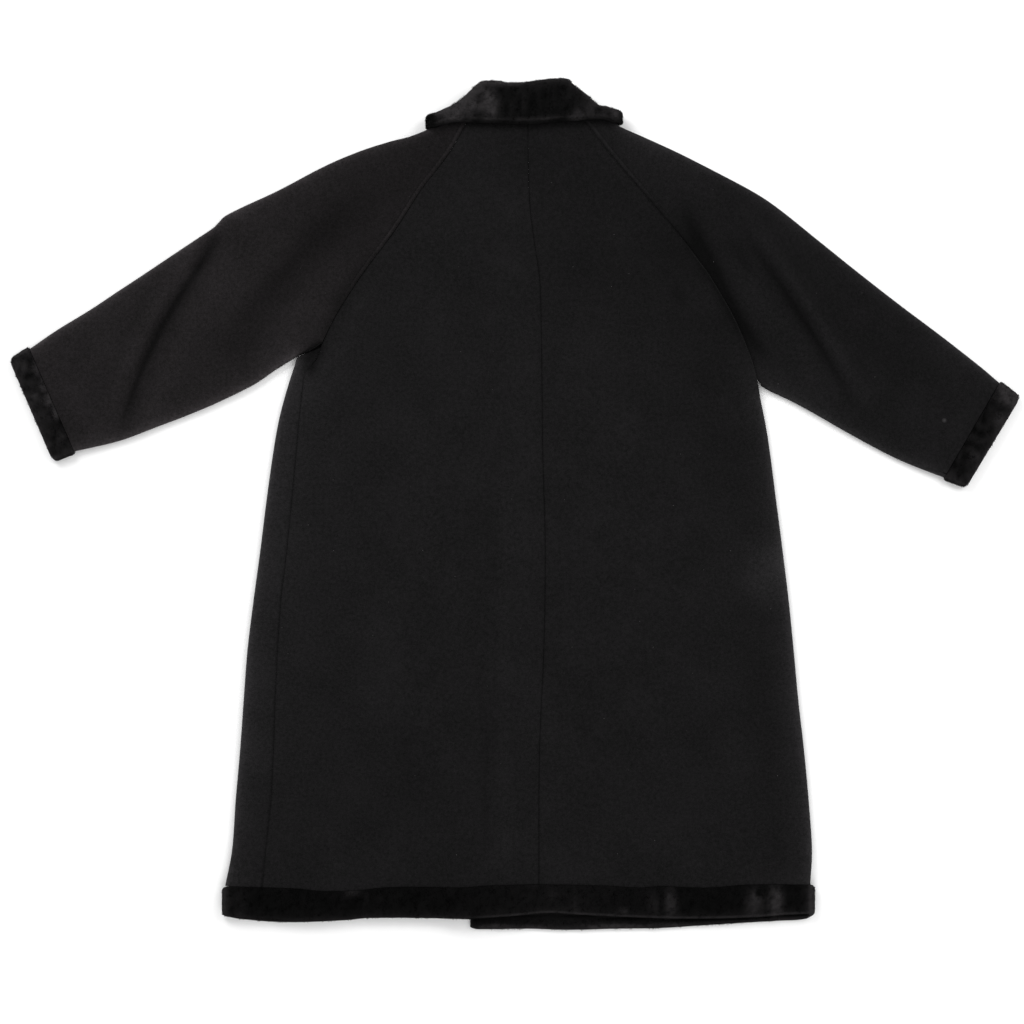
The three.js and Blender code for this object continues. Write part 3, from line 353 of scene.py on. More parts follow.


# Painted shade and painted light on the wool: dark stripes along creases, hollows and seams, and broad
# patches made lighter or darker as the light falls.
SHADES = (
    Shade(((300, -380), (310, 60)), 130, -0.04),  # the back
    Shade(((-60, -500), (60, -300)), 160, -0.04),
    Shade(((-340, -340), (-290, 150)), 66, 0.13),
    Shade(((-370, -480), (-300, -470)), 50, -0.06),
    Shade(((60, 350), (220, 320)), 75, -0.22),
    Shade(((320, 420), (440, 330), (560, 230)), 75, -0.19),
    Shade(((300, 250), (330, 210)), 40, -0.08),
    Shade(((325, 50), (270, 170)), 62, -0.20),
    Shade(((40, -500), (40, -300)), 24, 0.06),
    Shade(((-250, 380), (-200, 330)), 40, -0.06),
    Shade(((-155, -450), (-155, -290)), 34, -0.10),
    Shade(((-184, -262), (-170, -280)), 36, 0.17),
    Shade(((354, -88), (344, -112)), 27, 0.52),
    Shade(((352, -160), (374, -500)), 28, -0.17),
    Shade(((8, 420), (10, -500)), 30, 0.08),
    Shade(((-12, -500), (-12, 10)), 6, 0.08),
    Shade(((-41, -480), (-40, -290)), 7, -0.12),
    Shade(((228, 297), (232, 293)), 9, -0.22),
    Shade(((232, 255), (300, 235)), 26, -0.10),
    Shade(((60, 500), (170, 440), (240, 370)), 62, -0.19),
    Shade(((-90, 470), (40, 470)), 60, -0.11),
    Shade(((-200, -200), (-120, 60)), 80, 0.05),
    # the left sleeve: painted shade at the shoulder, along one sharp crease and in one broad hollow
    Shade(((-150, 490), (-200, 440), (-270, 390)), 50, -0.12),
    Shade(((-420, 374), (-454, 314), (-496, 251), (-524, 195), (-552, 108)), 10, -0.56, True),
    Shade(((-421, 372), (-442, 336)), 9, -0.32),
    Shade(((-200, 450), (-286, 376), (-337, 313), (-377, 264), (-430, 206)), 24, -0.27, True),
    Shade(((-279, 374), (-330, 320), (-348, 292)), 7, -0.12, True),
    # the left armhole: painted shade along the seam, under the sleeve's edge and in the fold beneath it
    Shade(((-196, 352), (-236, 294), (-262, 244), (-272, 226)), 5, -0.22),
    Shade(((-272, 227), (-286, 217), (-304, 209)), 3, -0.4),
    Shade(((-279, 216), (-287, 204), (-287, 192)), 11, -0.75),
    Shade(((-370, 210), (-300, 236)), 30, -0.24),
    # the right sleeve: painted shade along valleys that run down from the shoulder, and painted light on the
    # ridge beside one
    Shade(((318, 396), (350, 347), (393, 281), (428, 225), (463, 168), (488, 126)), 11, -0.42, True),
    Shade(((346, 384), (377, 336), (411, 282), (449, 220), (490, 150)), 7, 0.14, True),
    Shade(((308, 370), (320, 350), (334, 325)), 7, -0.14, True),
    Shade(((236, 424), (252, 380), (275, 330), (300, 284), (328, 238), (354, 200)), 12, -0.60, True),
    Shade(((312, 262), (336, 228), (352, 204)), 8, -0.18, True),
)


def outlines() -> list[list[tuple[float, float]]]:
    """Give the lines where cloth ends against the table, seen from above."""
    left_y, right_y = np.linspace(HEM_Y, 195, 30), np.linspace(HEM_Y, 150, 30)
    return [
        list(zip(SIDES.smooth("y", "left_fold", left_y), left_y)),
        list(zip(SIDES.smooth("y", "right_fold", right_y), right_y)),
        LEFT_OVERARM.pairs(),
        [p for p in LEFT_UNDERARM.pairs() if p[0] < -300],
        RIGHT_OVERARM.pairs(),
        [p for p in RIGHT_UNDERARM.pairs() if p[0] > 350],
    ]


def ripple(x: Array, y: Array, size: float, seed: int, waves: int = 7) -> Array:
    """Uneven soft lumps about `size` millimetres across, between about -1 and 1.

    Args:
        x: Places across.
        y: Places along.
        size: How wide a lump is.
        seed: Which lumps.
        waves: How many waves are added up.

    Returns:
        The height of the lumps at each place.
    """
    rng = np.random.default_rng(seed)
    total = np.zeros(np.shape(x))
    for _ in range(waves):
        angle, phase = rng.uniform(0, math.tau, 2)
        k = math.tau / (size * rng.uniform(1.3, 2.8))
        total += np.sin(k * (x * math.cos(angle) + y * math.sin(angle)) + phase)
    return total / math.sqrt(waves)


def distance_to(points: Sequence[tuple[float, float]], x: Array, y: Array) -> Array:
    """Give how far each place is from a line through `points`."""
    best = np.full(np.shape(x), np.inf)
    for (ax, ay), (bx, by) in zip(points[:-1], points[1:]):
        dx, dy = bx - ax, by - ay
        s = np.clip(((x - ax) * dx + (y - ay) * dy) / (dx * dx + dy * dy), 0, 1)
        best = np.minimum(best, np.hypot(x - ax - s * dx, y - ay - s * dy))
    return best


def seam_points(table: Table, low: float, high: float, steps: int = 60) -> list[tuple[float, float]]:
    """Points along a seam whose x is given by its y."""
    y = np.linspace(low, high, steps)
    return list(zip(table.smooth("y", "x", y), y))


@dataclass(frozen=True)
class Lie:
    """How the plies lie over each other: the height of each at any place."""

    groove: float = 0.9  # how deep a seam draws the cloth in
    groove_reach: float = 2.2
    welt: float = 7.6  # width of the stitched-down welt along the raglan seam
    welt_rise: float = 0.9
    unevenness: float = 0.28
    # painted light: how much lighter the cloth is painted at the outline, and over how many mm that fades
    rim: float = 2.7
    rim_mm: float = 4.0
    body_rim: float = 0.85
    body_rim_mm: float = 24.0
    arm_rim: float = 0.42
    arm_rim_mm: float = 19.0

    def centre_front(self, y: Array) -> Array:
        """Give where the fronts meet."""
        share = (y - HEM_Y) / (NECK_Y - NECK_DROP - HEM_Y)
        return mix(CLOSING_HEM_X, CLOSING_NECK_X, share)

    def near_hem(self, y: Array) -> Array:
        """Give 1 at the hem, fading to 0 above it."""
        return 1 - ease(y, HEM_Y + 10, HEM_Y + 110)

    def from_neck(self, x: Array, y: Array) -> Array:
        """Give how far out from the neck a place is, with 1 at the edge of the fall."""
        return np.hypot((x - NECK_X) / SPREAD_X, (y - NECK_Y) / SPREAD_Y)

    def floor(self, x: Array, y: Array) -> Array:
        """Give the underside of the lowest ply, which only the collar lifts."""
        return COLLAR_LIFT * (1 - ease(self.from_neck(x, y), 1.15, 1.9))

    def left_front(self, x: Array, y: Array) -> Array:
        """Give the underside of the left front, which lies over the right one."""
        centre = self.centre_front(y)
        over = ease(x, centre - 63, centre - 28)
        return self.floor(x, y) + over * mix(WOOL_STEP, FUR_STEP + 1, self.near_hem(y))

    def over_closing(self, x: Array, y: Array | float, flat: float, fade: float) -> Array:
        """Give how much of the closing lies under a place."""
        return 1 - ease(np.abs(x - self.centre_front(np.asarray(y, float))), flat, flat + fade)

    def relief(self, x: Array, y: Array) -> Array:
        """Add up all the folds."""
        total = np.zeros(np.shape(x))
        for fold in MAIN_FOLDS + FINE_FOLDS:
            total += fold.height(x, y)
        return total + self.unevenness * ripple(x, y, 60, 3) + 0.4 * self.unevenness * ripple(x, y, 22, 4)

    def seams(self, x: Array, y: Array) -> Array:
        """Give how seams draw the cloth in and how the welt raises it.

        Args:
            x: Places across.
            y: Places along.

        Returns:
            Heights, below zero in a groove.
        """
        total = np.zeros(np.shape(x))
        for side, table, low in RAGLANS:
            far = distance_to(seam_points(table, low, 540), x, y)
            total -= self.groove * np.exp(-((far / self.groove_reach) ** 2))
            outward = (x - table.smooth("y", "x", y)) * side.value
            on_sleeve = ease(outward, -0.5, 0.5) * ease(y, low + 50, low + 150)
            total += self.welt_rise * on_sleeve * (1 - ease(far, self.welt - 1.2, self.welt + 0.8))
            stitch = np.exp(-(((far - self.welt + 1.6) / 0.9) ** 2))
            total -= 0.45 * on_sleeve * stitch
        for line in (seam_points(CENTRE_SEAM, HEM_Y, 540), LEFT_SIDE_LINE):
            far = distance_to(line, x, y)
            total -= self.groove * np.exp(-((far / self.groove_reach) ** 2))
            total += 0.25 * np.exp(-(((far - 6) / 4) ** 2))
        return total

    def tone(self, x: Array, y: Array) -> Array:
        """Give how light the cloth is painted, with 1 on flat cloth.

        Slopes that face the middle are painted lighter and hollows darker, a painted light and painted shade;
        the patches in SHADES, the seams and the outline add more, and a faint mottle lies over it.

        Args:
            x: Places across.
            y: Places along.

        Returns:
            What the cloth's colour is multiplied by.
        """
        step = 1.5
        here = self.relief(x, y)
        slope_x = (self.relief(x + step, y) - here) / step
        slope_y = (self.relief(x, y + step) - here) / step
        # painted light on slopes that face the middle, painted shade in hollows
        away = np.hypot(x, y - 100) + 60
        facing = (slope_x * x + slope_y * (y - 100)) / away
        total = 1 + 0.8 * np.clip(facing, -0.3, 0.35) + 0.04 * np.clip(here, -5, 3)
        # painted shade and painted light from the patches
        for patch in SHADES:
            total += patch.at(x, y)
        total *= 1 + 0.02 * ripple(x, y, 45, 11) + 0.02 * ripple(x, y, 14, 12)
        return np.clip(total * self.seam_tone(x, y), 0.25, 1.9) * self.edge_tone(x, y)

    def edge_tone(self, x: Array, y: Array) -> Array:
        """Give how much lighter the cloth is painted towards the outline, a painted light along its turned
        edges.

        It is paint, so it stays whatever the light and the view.
        """
        far = [distance_to(line, x, y) for line in outlines()]
        body, arms = np.minimum(far[0], far[1]), np.min(far[2:], axis=0)
        total = 1 + self.rim * np.exp(-np.minimum(body, arms) / self.rim_mm)
        total += self.body_rim * np.exp(-body / self.body_rim_mm)
        return total + self.arm_rim * np.exp(-arms / self.arm_rim_mm)

    def seam_tone(self, x: Array, y: Array) -> Array:
        """Give the painted shade along a seam, where the two edges of cloth go down, and along the stitches
        by it, and the painted light on the raised welt between them.
        """
        total = np.ones(np.shape(x))
        for side, table, low in RAGLANS:
            far = distance_to(seam_points(table, low, 540), x, y)
            total -= 0.34 * np.exp(-((far / 1.2) ** 2))
            outward = (x - table.smooth("y", "x", y)) * side.value
            on_sleeve = ease(outward, -0.5, 0.5) * ease(y, low + 50, low + 150)
            total -= 0.24 * on_sleeve * np.exp(-(((far - self.welt + 0.8) / 1.1) ** 2))
            total += 0.5 * on_sleeve * np.exp(-(((far - self.welt / 2) / 2.2) ** 2))
        for line in (seam_points(CENTRE_SEAM, HEM_Y, 540), LEFT_SIDE_LINE):
            total -= 0.36 * np.exp(-((distance_to(line, x, y) / 1.2) ** 2))
        return total

    def top(self, x: Array, y: Array) -> Array:
        """Give the outside of the top ply, without seams."""
        middle = np.hypot((x - 30) / 310, (y + 110) / 470)
        settled = SETTLE * (1 - ease(middle, 0.6, 1))
        lap = self.over_closing(x, y, 26, 40)
        plain = self.floor(x, y) + EDGE_HEIGHT - settled + WOOL_STEP * lap + self.relief(x, y)
        hem = FUR_STEP + 4.5 + FUR_STEP * self.over_closing(x, y, 30, 50)
        body = mix(plain, hem, self.near_hem(y))
        return mix(NECK_TOP, body, ease(self.from_neck(x, y), 1, 1.35))

    def sleeve(self, x: Array, y: Array) -> Array:
        """Give the outside of a sleeve's upper half, which rises to meet its cuff."""
        top = self.top(x, y)
        for corners, side in ((LEFT_CUFF, -1), (RIGHT_CUFF, 1)):
            (ux, uy), (ox, oy) = corners[:2]
            dx, dy = ox - ux, oy - uy
            far = np.abs((x - ux) * dy - (y - uy) * dx) / math.hypot(dx, dy)
            cuffed = mix(CUFF_TOP, top, ease(far, 6, 75))
            top = np.where(x * side > 0, cuffed, top)
        return top


LEFT_SIDE_LINE = [
    (float(SIDES.straight("y", "left_seam", y)), float(y)) for y in np.linspace(HEM_Y, ARMPIT_Y - 20, 40)
]
RAGLANS = ((Side.LEFT, RAGLAN_LEFT, 203), (Side.RIGHT, RAGLAN_RIGHT, 345))
LIE = Lie()


# ---------------------------------------------------------------- grids and walls
@dataclass
class Skin:
    """A grid of places on the outside of a piece, with the way it faces there."""

    at: Array
    out: Array

    @staticmethod
    def flat(x: Array, y: Array, z: Array, up: float) -> "Skin":
        """Make a skin that faces straight up or down."""
        out = np.zeros(x.shape + (3,))
        out[..., 2] = up
        return Skin(np.stack([x, y, z], -1), out)

    def beside(self, *others: "Skin") -> "Skin":
        """Join skins with the same rows, column after column."""
        parts = (self,) + others
        return Skin(np.concatenate([p.at for p in parts], 1), np.concatenate([p.out for p in parts], 1))

    def reverse(self) -> "Skin":
        """Turn the order of the columns round."""
        return Skin(self.at[:, ::-1], self.out[:, ::-1])

    def cut(self, ring: bool = False, slanted: bool = False) -> tuple[tuple[float, float], float]:
        """Work out the flat cut of the cloth that makes this skin.

        Args:
            ring: Whether the last column joins the first.
            slanted: Whether its first row runs at a slant, so that it is measured along its own axis.

        Returns:
            Width and length in metres at their widest, and the area in square metres.
        """
        at = np.concatenate([self.at, self.at[:, :1]], 1) if ring else self.at
        width = np.linalg.norm(np.diff(at, axis=1), axis=2).sum(1).max() * MM
        length = np.linalg.norm(np.diff(at, axis=0), axis=2).sum(0).max() * MM
        if slanted:
            axis = (at[-1].mean(0) - at[0].mean(0))[:2]
            axis /= np.linalg.norm(axis)
            plan = at[..., :2].reshape(-1, 2)
            length = np.ptp(plan @ axis) * MM
            width = (np.ptp(plan @ [-axis[1], axis[0]]) + (math.pi / 2 - 1) * EDGE_HEIGHT) * MM
        cross = np.cross(at[1:, 1:] - at[:-1, :-1], at[1:, :-1] - at[:-1, 1:])
        return (float(width), float(length)), float(np.linalg.norm(cross, axis=2).sum() / 2 * MM**2)


def turned_edge(
    start: Array, way: Array, up: float, radius: Array, turn: Array, tail: Array, steps: int, tail_steps: int
) -> Skin:
    """Turn the edge of a ply over, row by row.

    Args:
        start: Where each row's turn begins, on the outside.
        way: The direction outwards in plan, for each row.
        up: 1 for a top ply, -1 for one on the floor.
        radius: Outer radius of each row's turn.
        turn: How far each row turns, in radians.
        tail: What runs on straight after the turn.
        steps: Faces round the turn.
        tail_steps: Faces along the tail.

    Returns:
        The skin of the turned cloth.
    """
    share = np.linspace(0, 1, steps + 1)[1:]
    angle = turn[:, None] * share[None]
    along = radius[:, None] * np.sin(angle)
    drop = radius[:, None] * (1 - np.cos(angle))
    if tail_steps:
        s = tail[:, None] * np.linspace(0, 1, tail_steps + 1)[None, 1:]
        end = np.repeat(turn[:, None], tail_steps, 1)
        along = np.concatenate([along, radius[:, None] * np.sin(end) + s * np.cos(end)], 1)
        drop = np.concatenate([drop, radius[:, None] * (1 - np.cos(end)) + s * np.sin(end)], 1)
        angle = np.concatenate([angle, end], 1)
    plan = start[:, None, :2] + way[:, None, :] * along[..., None]
    at = np.concatenate([plan, (start[:, None, 2] - up * drop)[..., None]], -1)
    out = np.concatenate([way[:, None, :] * np.sin(angle)[..., None], (up * np.cos(angle))[..., None]], -1)
    return Skin(at, out)


def wall_faces(rows: int, columns: int, ring: bool) -> Array:
    """Give the quads of a closed wall between an outer and an inner grid."""
    ids = np.arange(2 * rows * columns).reshape(2, rows, columns)
    if ring:
        ids = np.concatenate([ids, ids[:, :, :1]], 2)
    o, i = ids

    def quads(a: Array, b: Array, c: Array, d: Array) -> Array:
        """Stack four corner grids into faces."""
        return np.stack([a.ravel(), b.ravel(), c.ravel(), d.ravel()], 1)

    parts = [
        quads(o[:-1, :-1], o[:-1, 1:], o[1:, 1:], o[1:, :-1]),
        quads(i[:-1, :-1], i[1:, :-1], i[1:, 1:], i[:-1, 1:]),
        quads(o[0, :-1], i[0, :-1], i[0, 1:], o[0, 1:]),
        quads(o[-1, 1:], i[-1, 1:], i[-1, :-1], o[-1, :-1]),
    ]
    if not ring:
        parts.append(quads(o[1:, 0], i[1:, 0], i[:-1, 0], o[:-1, 0]))
        parts.append(quads(o[:-1, -1], i[:-1, -1], i[1:, -1], o[1:, -1]))
    return np.concatenate(parts)


class Bench:
    """Turns grids into Blender objects that stand in the frame's place."""

    def __init__(self) -> None:
        """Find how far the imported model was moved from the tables' own origin."""
        low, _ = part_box("back_left")
        edge = SIDES.straight("y", "left_seam", HEM_Y) + SEAM / 2
        self.shift = np.array([low[0] / MM - edge, low[1] / MM - (HEM_Y + SEAM / 2), 0.0])

    def mesh(self, name: str, points: Array, faces: Array) -> bpy.types.Object:
        """Make an object from points in millimetres and faces of one size.

        Args:
            name: The object's name.
            points: One row a point.
            faces: One row a face.

        Returns:
            The new object, linked to the scene.
        """
        data = bpy.data.meshes.new(name)
        corners = faces.shape[1]
        data.vertices.add(len(points))
        data.vertices.foreach_set("co", ((points + self.shift) * MM).astype(np.float32).ravel())
        data.loops.add(faces.size)
        data.loops.foreach_set("vertex_index", faces.astype(np.int32).ravel())
        data.polygons.add(len(faces))
        data.polygons.foreach_set("loop_start", np.arange(0, faces.size, corners, dtype=np.int32))
        data.update(calc_edges=True)
        data.validate()
        thing = bpy.data.objects.new(name, data)
        bpy.context.collection.objects.link(thing)
        return thing

    def wall(
        self, name: str, skin: Skin, thick: float, full: Array | None = None, ring: bool = False
    ) -> bpy.types.Object:
        """Make a closed wall of even thickness under a skin.

        Args:
            name: The object's name.
            skin: Its outside.
            thick: The wall.
            full: For each row, the share of the wall that is there.
            ring: Whether the last column joins the first.

        Returns:
            The wall's object.
        """
        share = np.ones(len(skin.at)) if full is None else full
        sunk = thick / 2 * (1 - share)[:, None, None]
        outer = skin.at - skin.out * sunk
        inner = skin.at - skin.out * (thick - sunk)
        rows, columns = skin.at.shape[:2]
        points = np.concatenate([outer.reshape(-1, 3), inner.reshape(-1, 3)])
        faces = wall_faces(rows, columns, ring)
        a, b, c, d = (points[faces[:, k]] for k in range(4))
        volume = sum(np.einsum("ij,ij->i", a, np.cross(*pair)).sum() for pair in ((b, c), (c, d)))
        if volume < 0:
            faces = faces[:, ::-1]
        thing = self.mesh(name, points, faces)
        thing.data.polygons.foreach_set("use_smooth", np.ones(len(faces), bool))
        thing.data.set_sharp_from_angle(angle=math.radians(50))
        return thing


def half_gap(y: Array) -> Array:
    """Give half of the space between two sewn panels, which closes where only the table lies under it."""
    return SEAM / 2 * (1 - 0.95 * ease(y, 485, 505))


def spread(low: float, high: float, step: float, dense: Iterable[float] = ()) -> Array:
    """Give even places from `low` to `high`, with extra ones at set distances from the ends.

    Args:
        low: The first place.
        high: The last place.
        step: About how far apart the even ones are.
        dense: Distances from `low`, and if below zero from `high`.

    Returns:
        The places in order, none closer than a third of a millimetre.
    """
    even = np.linspace(low, high, max(2, round(abs(high - low) / step) + 1))
    extra = [low + d if d >= 0 else high + d for d in dense]
    places = np.unique(np.concatenate([even, [e for e in extra if low < e < high]]))
    keep = np.concatenate([[True], np.diff(places) > 0.33])
    keep[-1] = True
    return places[keep]


NEAR_SEAM = (0.8, 1.8, 3.0, 4.6, 6.4, -0.8, -1.8, -3.0, -4.6, -6.4)


def patch(bottom: Array, top: Array, left: Array, right: Array, u: Array, v: Array) -> Array:
    """Fill the space between four edges.

    Args:
        bottom: Points along v = 0, one for each u.
        top: Points along v = 1, one for each u.
        left: Points along u = 0, one for each v.
        right: Points along u = 1, one for each v.
        u: Shares across.
        v: Shares along.

    Returns:
        A grid of points, rows along v.
    """
    uu, vv = u[None, :, None], v[:, None, None]
    blend = (1 - vv) * bottom[None] + vv * top[None] + (1 - uu) * left[:, None] + uu * right[:, None]
    low = (1 - vv) * ((1 - uu) * bottom[0] + uu * bottom[-1])
    high = vv * ((1 - uu) * top[0] + uu * top[-1])
    return blend - low - high


@dataclass
class Line:
    """A line through points, read by its share of the length."""

    points: Sequence[tuple[float, float]]
    shares: Array = field(init=False)

    def __post_init__(self) -> None:
        """Work out where the corners lie."""
        p = np.array(self.points, float)
        reach = np.concatenate([[0], np.cumsum(np.hypot(*np.diff(p, axis=0).T))])
        self.shares = reach / reach[-1]

    def at(self, share: Array) -> Array:
        """Give the points at these shares."""
        p = np.array(self.points, float)
        return np.stack([np.interp(share, self.shares, p[:, 0]), np.interp(share, self.shares, p[:, 1])], -1)


def front_hem(x: Array | float) -> Array:
    """Give where the left front's wool ends and its fur band starts."""
    return mix(-534.0, -541.0, (x + 403) / 400)


def right_front_hem(x: Array | float) -> Array:
    """Give where the right front's wool ends and its fur band starts."""
    return mix(-549.0, -535.0, (x + 62) / 430)


def hem_line(x: Array | float) -> Array:
    """Give where the wool ends and the fur starts along the back's hem, which waves a little."""
    return HEM_LINE.smooth("x", "y", x)


def hem_shift(x: Array, level: Array) -> Array:
    """Give how far a row near the hem is moved so that the last one follows the hem line."""
    return (hem_line(x) - HEM_Y) * (1 - ease(level, HEM_Y, HEM_Y + 60))


def neck_back(x: Array | float) -> Array:
    """Give the neckline's y along the back."""
    return COLLAR_BACK.straight("x", "neck", x)


def neck_front(side: Side, degrees: float) -> tuple[float, float]:
    """Give a point of the front neckline, from 0 at the side to 90 degrees at its lowest."""
    start = COLLAR_BACK.columns["neck"][0 if side is Side.LEFT else -1]
    drop = start - (NECK_Y - NECK_DROP)
    a = math.radians(degrees)
    return NECK_X + side.value * NECK_HALF * math.cos(a), start - drop * math.sin(a)


# ---------------------------------------------------------------- finishes
def linear(colour: str) -> tuple[float, float, float, float]:
    """Turn an sRGB hex colour into linear values."""
    parts = [int(colour[i : i + 2], 16) / 255 for i in (1, 3, 5)]
    r, g, b = (c / 12.92 if c <= 0.04045 else ((c + 0.055) / 1.055) ** 2.4 for c in parts)
    return r, g, b, 1.0


def add_node(
    tree: bpy.types.NodeTree, kind: str, links: dict[str, object] | None = None, **settings: object
) -> bpy.types.Node:
    """Add a node with its settings and links.

    Args:
        tree: The node tree.
        kind: The node's Blender type name after ShaderNode.
        links: For each input's name, an output socket to link or a value to set.
        settings: Properties of the node itself.

    Returns:
        The node.
    """
    node = tree.nodes.new("ShaderNode" + kind)
    for name, value in settings.items():
        setattr(node, name, value)
    for name, value in (links or {}).items():
        socket = node.inputs[int(name)] if name.isdigit() else node.inputs[name]
        if isinstance(value, bpy.types.NodeSocket):
            tree.links.new(value, socket)
        else:
            socket.default_value = value
    return node


def ramp(
    tree: bpy.types.NodeTree, factor: bpy.types.NodeSocket, stops: Sequence[tuple[float, object]]
) -> bpy.types.NodeSocket:
    """Add a colour ramp with these stops and give its colour socket."""
    node = add_node(tree, "ValToRGB", {"Fac": factor})
    elements = node.color_ramp.elements
    while len(elements) < len(stops):
        elements.new(0.5)
    for element, (place, value) in zip(elements, stops):
        element.position = place
        element.color = linear(value) if isinstance(value, str) else (value, value, value, 1.0)
    return node.outputs["Color"]


def new_material(name: str) -> tuple[bpy.types.Material, bpy.types.NodeTree]:
    """Make an empty node material."""
    material = bpy.data.materials.new(name)
    material.use_nodes = True
    material.node_tree.nodes.clear()
    return material, material.node_tree


@dataclass(frozen=True)
class BrushedWool:
    """Black wool coating, woven, fulled and brushed: a matt felted face with a short raised nap.

    The nap hides the weave, scatters light evenly and lifts a faint grey bloom at glancing angles.
    """

    name: str = "brushed_wool"
    dark: str = "#0b0b0b"
    light: str = "#191819"
    fibre_mm: float = 1.6  # a real fibre is far finer and wouldn't show, so it is drawn coarser
    tuft_mm: float = 4.5  # fibres cling in small tufts
    cloud_mm: float = 70.0  # how wide the brushed streaks are
    lint_mm: float = 9.0  # one speck of lint in each such square at most
    roughness: float = 0.95
    sheen: float = 0.035
    speck: tuple[float, float] | None = None  # where one larger tuft of lint clings
    speck_mm: float = 3.8

    def build(self, bench: "Bench") -> bpy.types.Material:
        """Make the material.

        Args:
            bench: Knows where the tables' origin is in the frame.

        Returns:
            The finished material.
        """
        material, tree = new_material(self.name)
        place = add_node(tree, "TexCoord").outputs["Object"]
        fibre = add_node(
            tree,
            "TexNoise",
            {
                "Vector": place,
                "Scale": 1 / (self.fibre_mm * MM),
                "Detail": 3.0,
                "Roughness": 0.7,
                "Distortion": 0.6,
            },
        )
        cloud = add_node(
            tree, "TexNoise", {"Vector": place, "Scale": 1 / (self.cloud_mm * MM), "Detail": 4.0}
        )
        tuft = add_node(
            tree, "TexNoise", {"Vector": place, "Scale": 1 / (self.tuft_mm * MM), "Detail": 2.0}
        )
        level = add_node(tree, "Math", {"0": fibre.outputs["Fac"], "1": 0.6}, operation="MULTIPLY")
        for noise, share in ((tuft, 0.32), (cloud, 0.18)):
            links = {"0": noise.outputs["Fac"], "1": share, "2": level.outputs[0]}
            level = add_node(tree, "Math", links, operation="MULTIPLY_ADD")
        plain = ramp(tree, level.outputs[0], ((0.41, self.dark), (0.69, self.light)))
        # the stored tone is painted light and painted shade, which multiplies the cloth's colour
        tone = add_node(tree, "Attribute", attribute_name="tone").outputs["Fac"]
        toned = add_node(tree, "VectorMath", {"0": plain, "Scale": tone}, operation="SCALE")
        cloth = toned.outputs["Vector"]
        specks = add_node(
            tree,
            "TexVoronoi",
            {"Vector": place, "Scale": 1 / (self.lint_mm * MM), "Randomness": 1.0},
        )
        tiny = ramp(tree, specks.outputs["Distance"], ((0.028, 1.0), (0.06, 0.0)))
        rare = ramp(tree, specks.outputs["Color"], ((0.80, 0.0), (0.86, 1.0)))
        lint = add_node(tree, "Math", {"0": tiny, "1": rare}, operation="MULTIPLY")
        lint = add_node(tree, "Math", {"0": lint.outputs[0], "1": 0.3}, operation="MULTIPLY")
        if self.speck:
            flat = add_node(tree, "VectorMath", {"0": place, "1": (1.0, 1.0, 0.0)}, operation="MULTIPLY")
            spot = tuple((np.array([*self.speck, 0.0]) + bench.shift) * MM)
            far = add_node(tree, "VectorMath", {"0": flat.outputs[0], "1": spot}, operation="DISTANCE")
            share = add_node(
                tree, "Math", {"0": far.outputs["Value"], "1": self.speck_mm * MM}, operation="DIVIDE"
            )
            tuft_of_lint = ramp(tree, share.outputs[0], ((0.1, 0.10), (1.0, 0.0)))
            lint = add_node(tree, "Math", {"0": lint.outputs[0], "1": tuft_of_lint}, operation="MAXIMUM")
        colour = add_node(
            tree,
            "Mix",
            {"Factor": lint.outputs[0], "6": cloth, "7": linear("#8d8b8c")},
            data_type="RGBA",
        )
        nap_and_painted_light = add_node(
            tree,
            "Bump",
            {"Height": fibre.outputs["Fac"], "Strength": 0.55, "Distance": 0.9 * MM},
        )
        nap_and_painted_light = add_node(
            tree,
            "Bump",
            {
                "Height": tuft.outputs["Fac"],
                "Strength": 0.2,
                "Distance": 0.6 * MM,
                "Normal": nap_and_painted_light.outputs["Normal"],
            },
        )
        shader = add_node(
            tree,
            "BsdfPrincipled",
            {
                "Base Color": colour.outputs[2],
                "Roughness": self.roughness,
                "IOR": 1.45,
                "Specular IOR Level": 0.05,
                "Sheen Weight": self.sheen,
                "Sheen Roughness": 0.5,
                "Normal": nap_and_painted_light.outputs["Normal"],
            },
        )
        add_node(tree, "OutputMaterial", {"Surface": shader.outputs["BSDF"]})
        return material


@dataclass(frozen=True)
class ShearedFur:
    """Dyed sheepskin, ironed straight and sheared: a dense upright pile on its leather.

    It is deep black where one looks into the pile and grey where it has been brushed over; the same grey is
    painted as light along its rolled edges and outline.
    """

    name: str = "sheared_fur"
    deep: str = "#020202"
    # the grey of brushed pile, also used for the painted light at its edges
    brushed: str = "#2f2d2e"
    roughness: float = 0.7
    sheen: float = 0.0
    pile_mm: float = 1.8  # tips of the pile, drawn coarser than the real hairs

    def build(self) -> bpy.types.Material:
        """Make the material.

        Returns:
            The finished material.
        """
        material, tree = new_material(self.name)
        place = add_node(tree, "TexCoord").outputs["Object"]
        # brushed pile and painted light along the edges, both drawn grey
        over = add_node(tree, "Attribute", attribute_name="brushed").outputs["Fac"]
        tips = add_node(
            tree,
            "TexNoise",
            {"Vector": place, "Scale": 1 / (self.pile_mm * MM), "Detail": 3.0, "Roughness": 0.75},
        )
        level = add_node(
            tree,
            "Math",
            {"0": over, "1": ramp(tree, tips.outputs["Fac"], ((0.3, 0.55), (0.7, 1.0)))},
            operation="MULTIPLY",
        )
        colour = ramp(tree, level.outputs[0], ((0.0, self.deep), (1.0, self.brushed)))
        pile = add_node(
            tree, "Bump", {"Height": tips.outputs["Fac"], "Strength": 0.6, "Distance": 1.2 * MM}
        )
        shader = add_node(
            tree,
            "BsdfPrincipled",
            {
                "Base Color": colour,
                "Roughness": self.roughness,
                "IOR": 1.4,
                "Specular IOR Level": 0.05,
                "Sheen Weight": self.sheen,
                "Sheen Roughness": 0.35,
                "Normal": pile.outputs["Normal"],
            },
        )
        add_node(tree, "OutputMaterial", {"Surface": shader.outputs["BSDF"]})
        return material


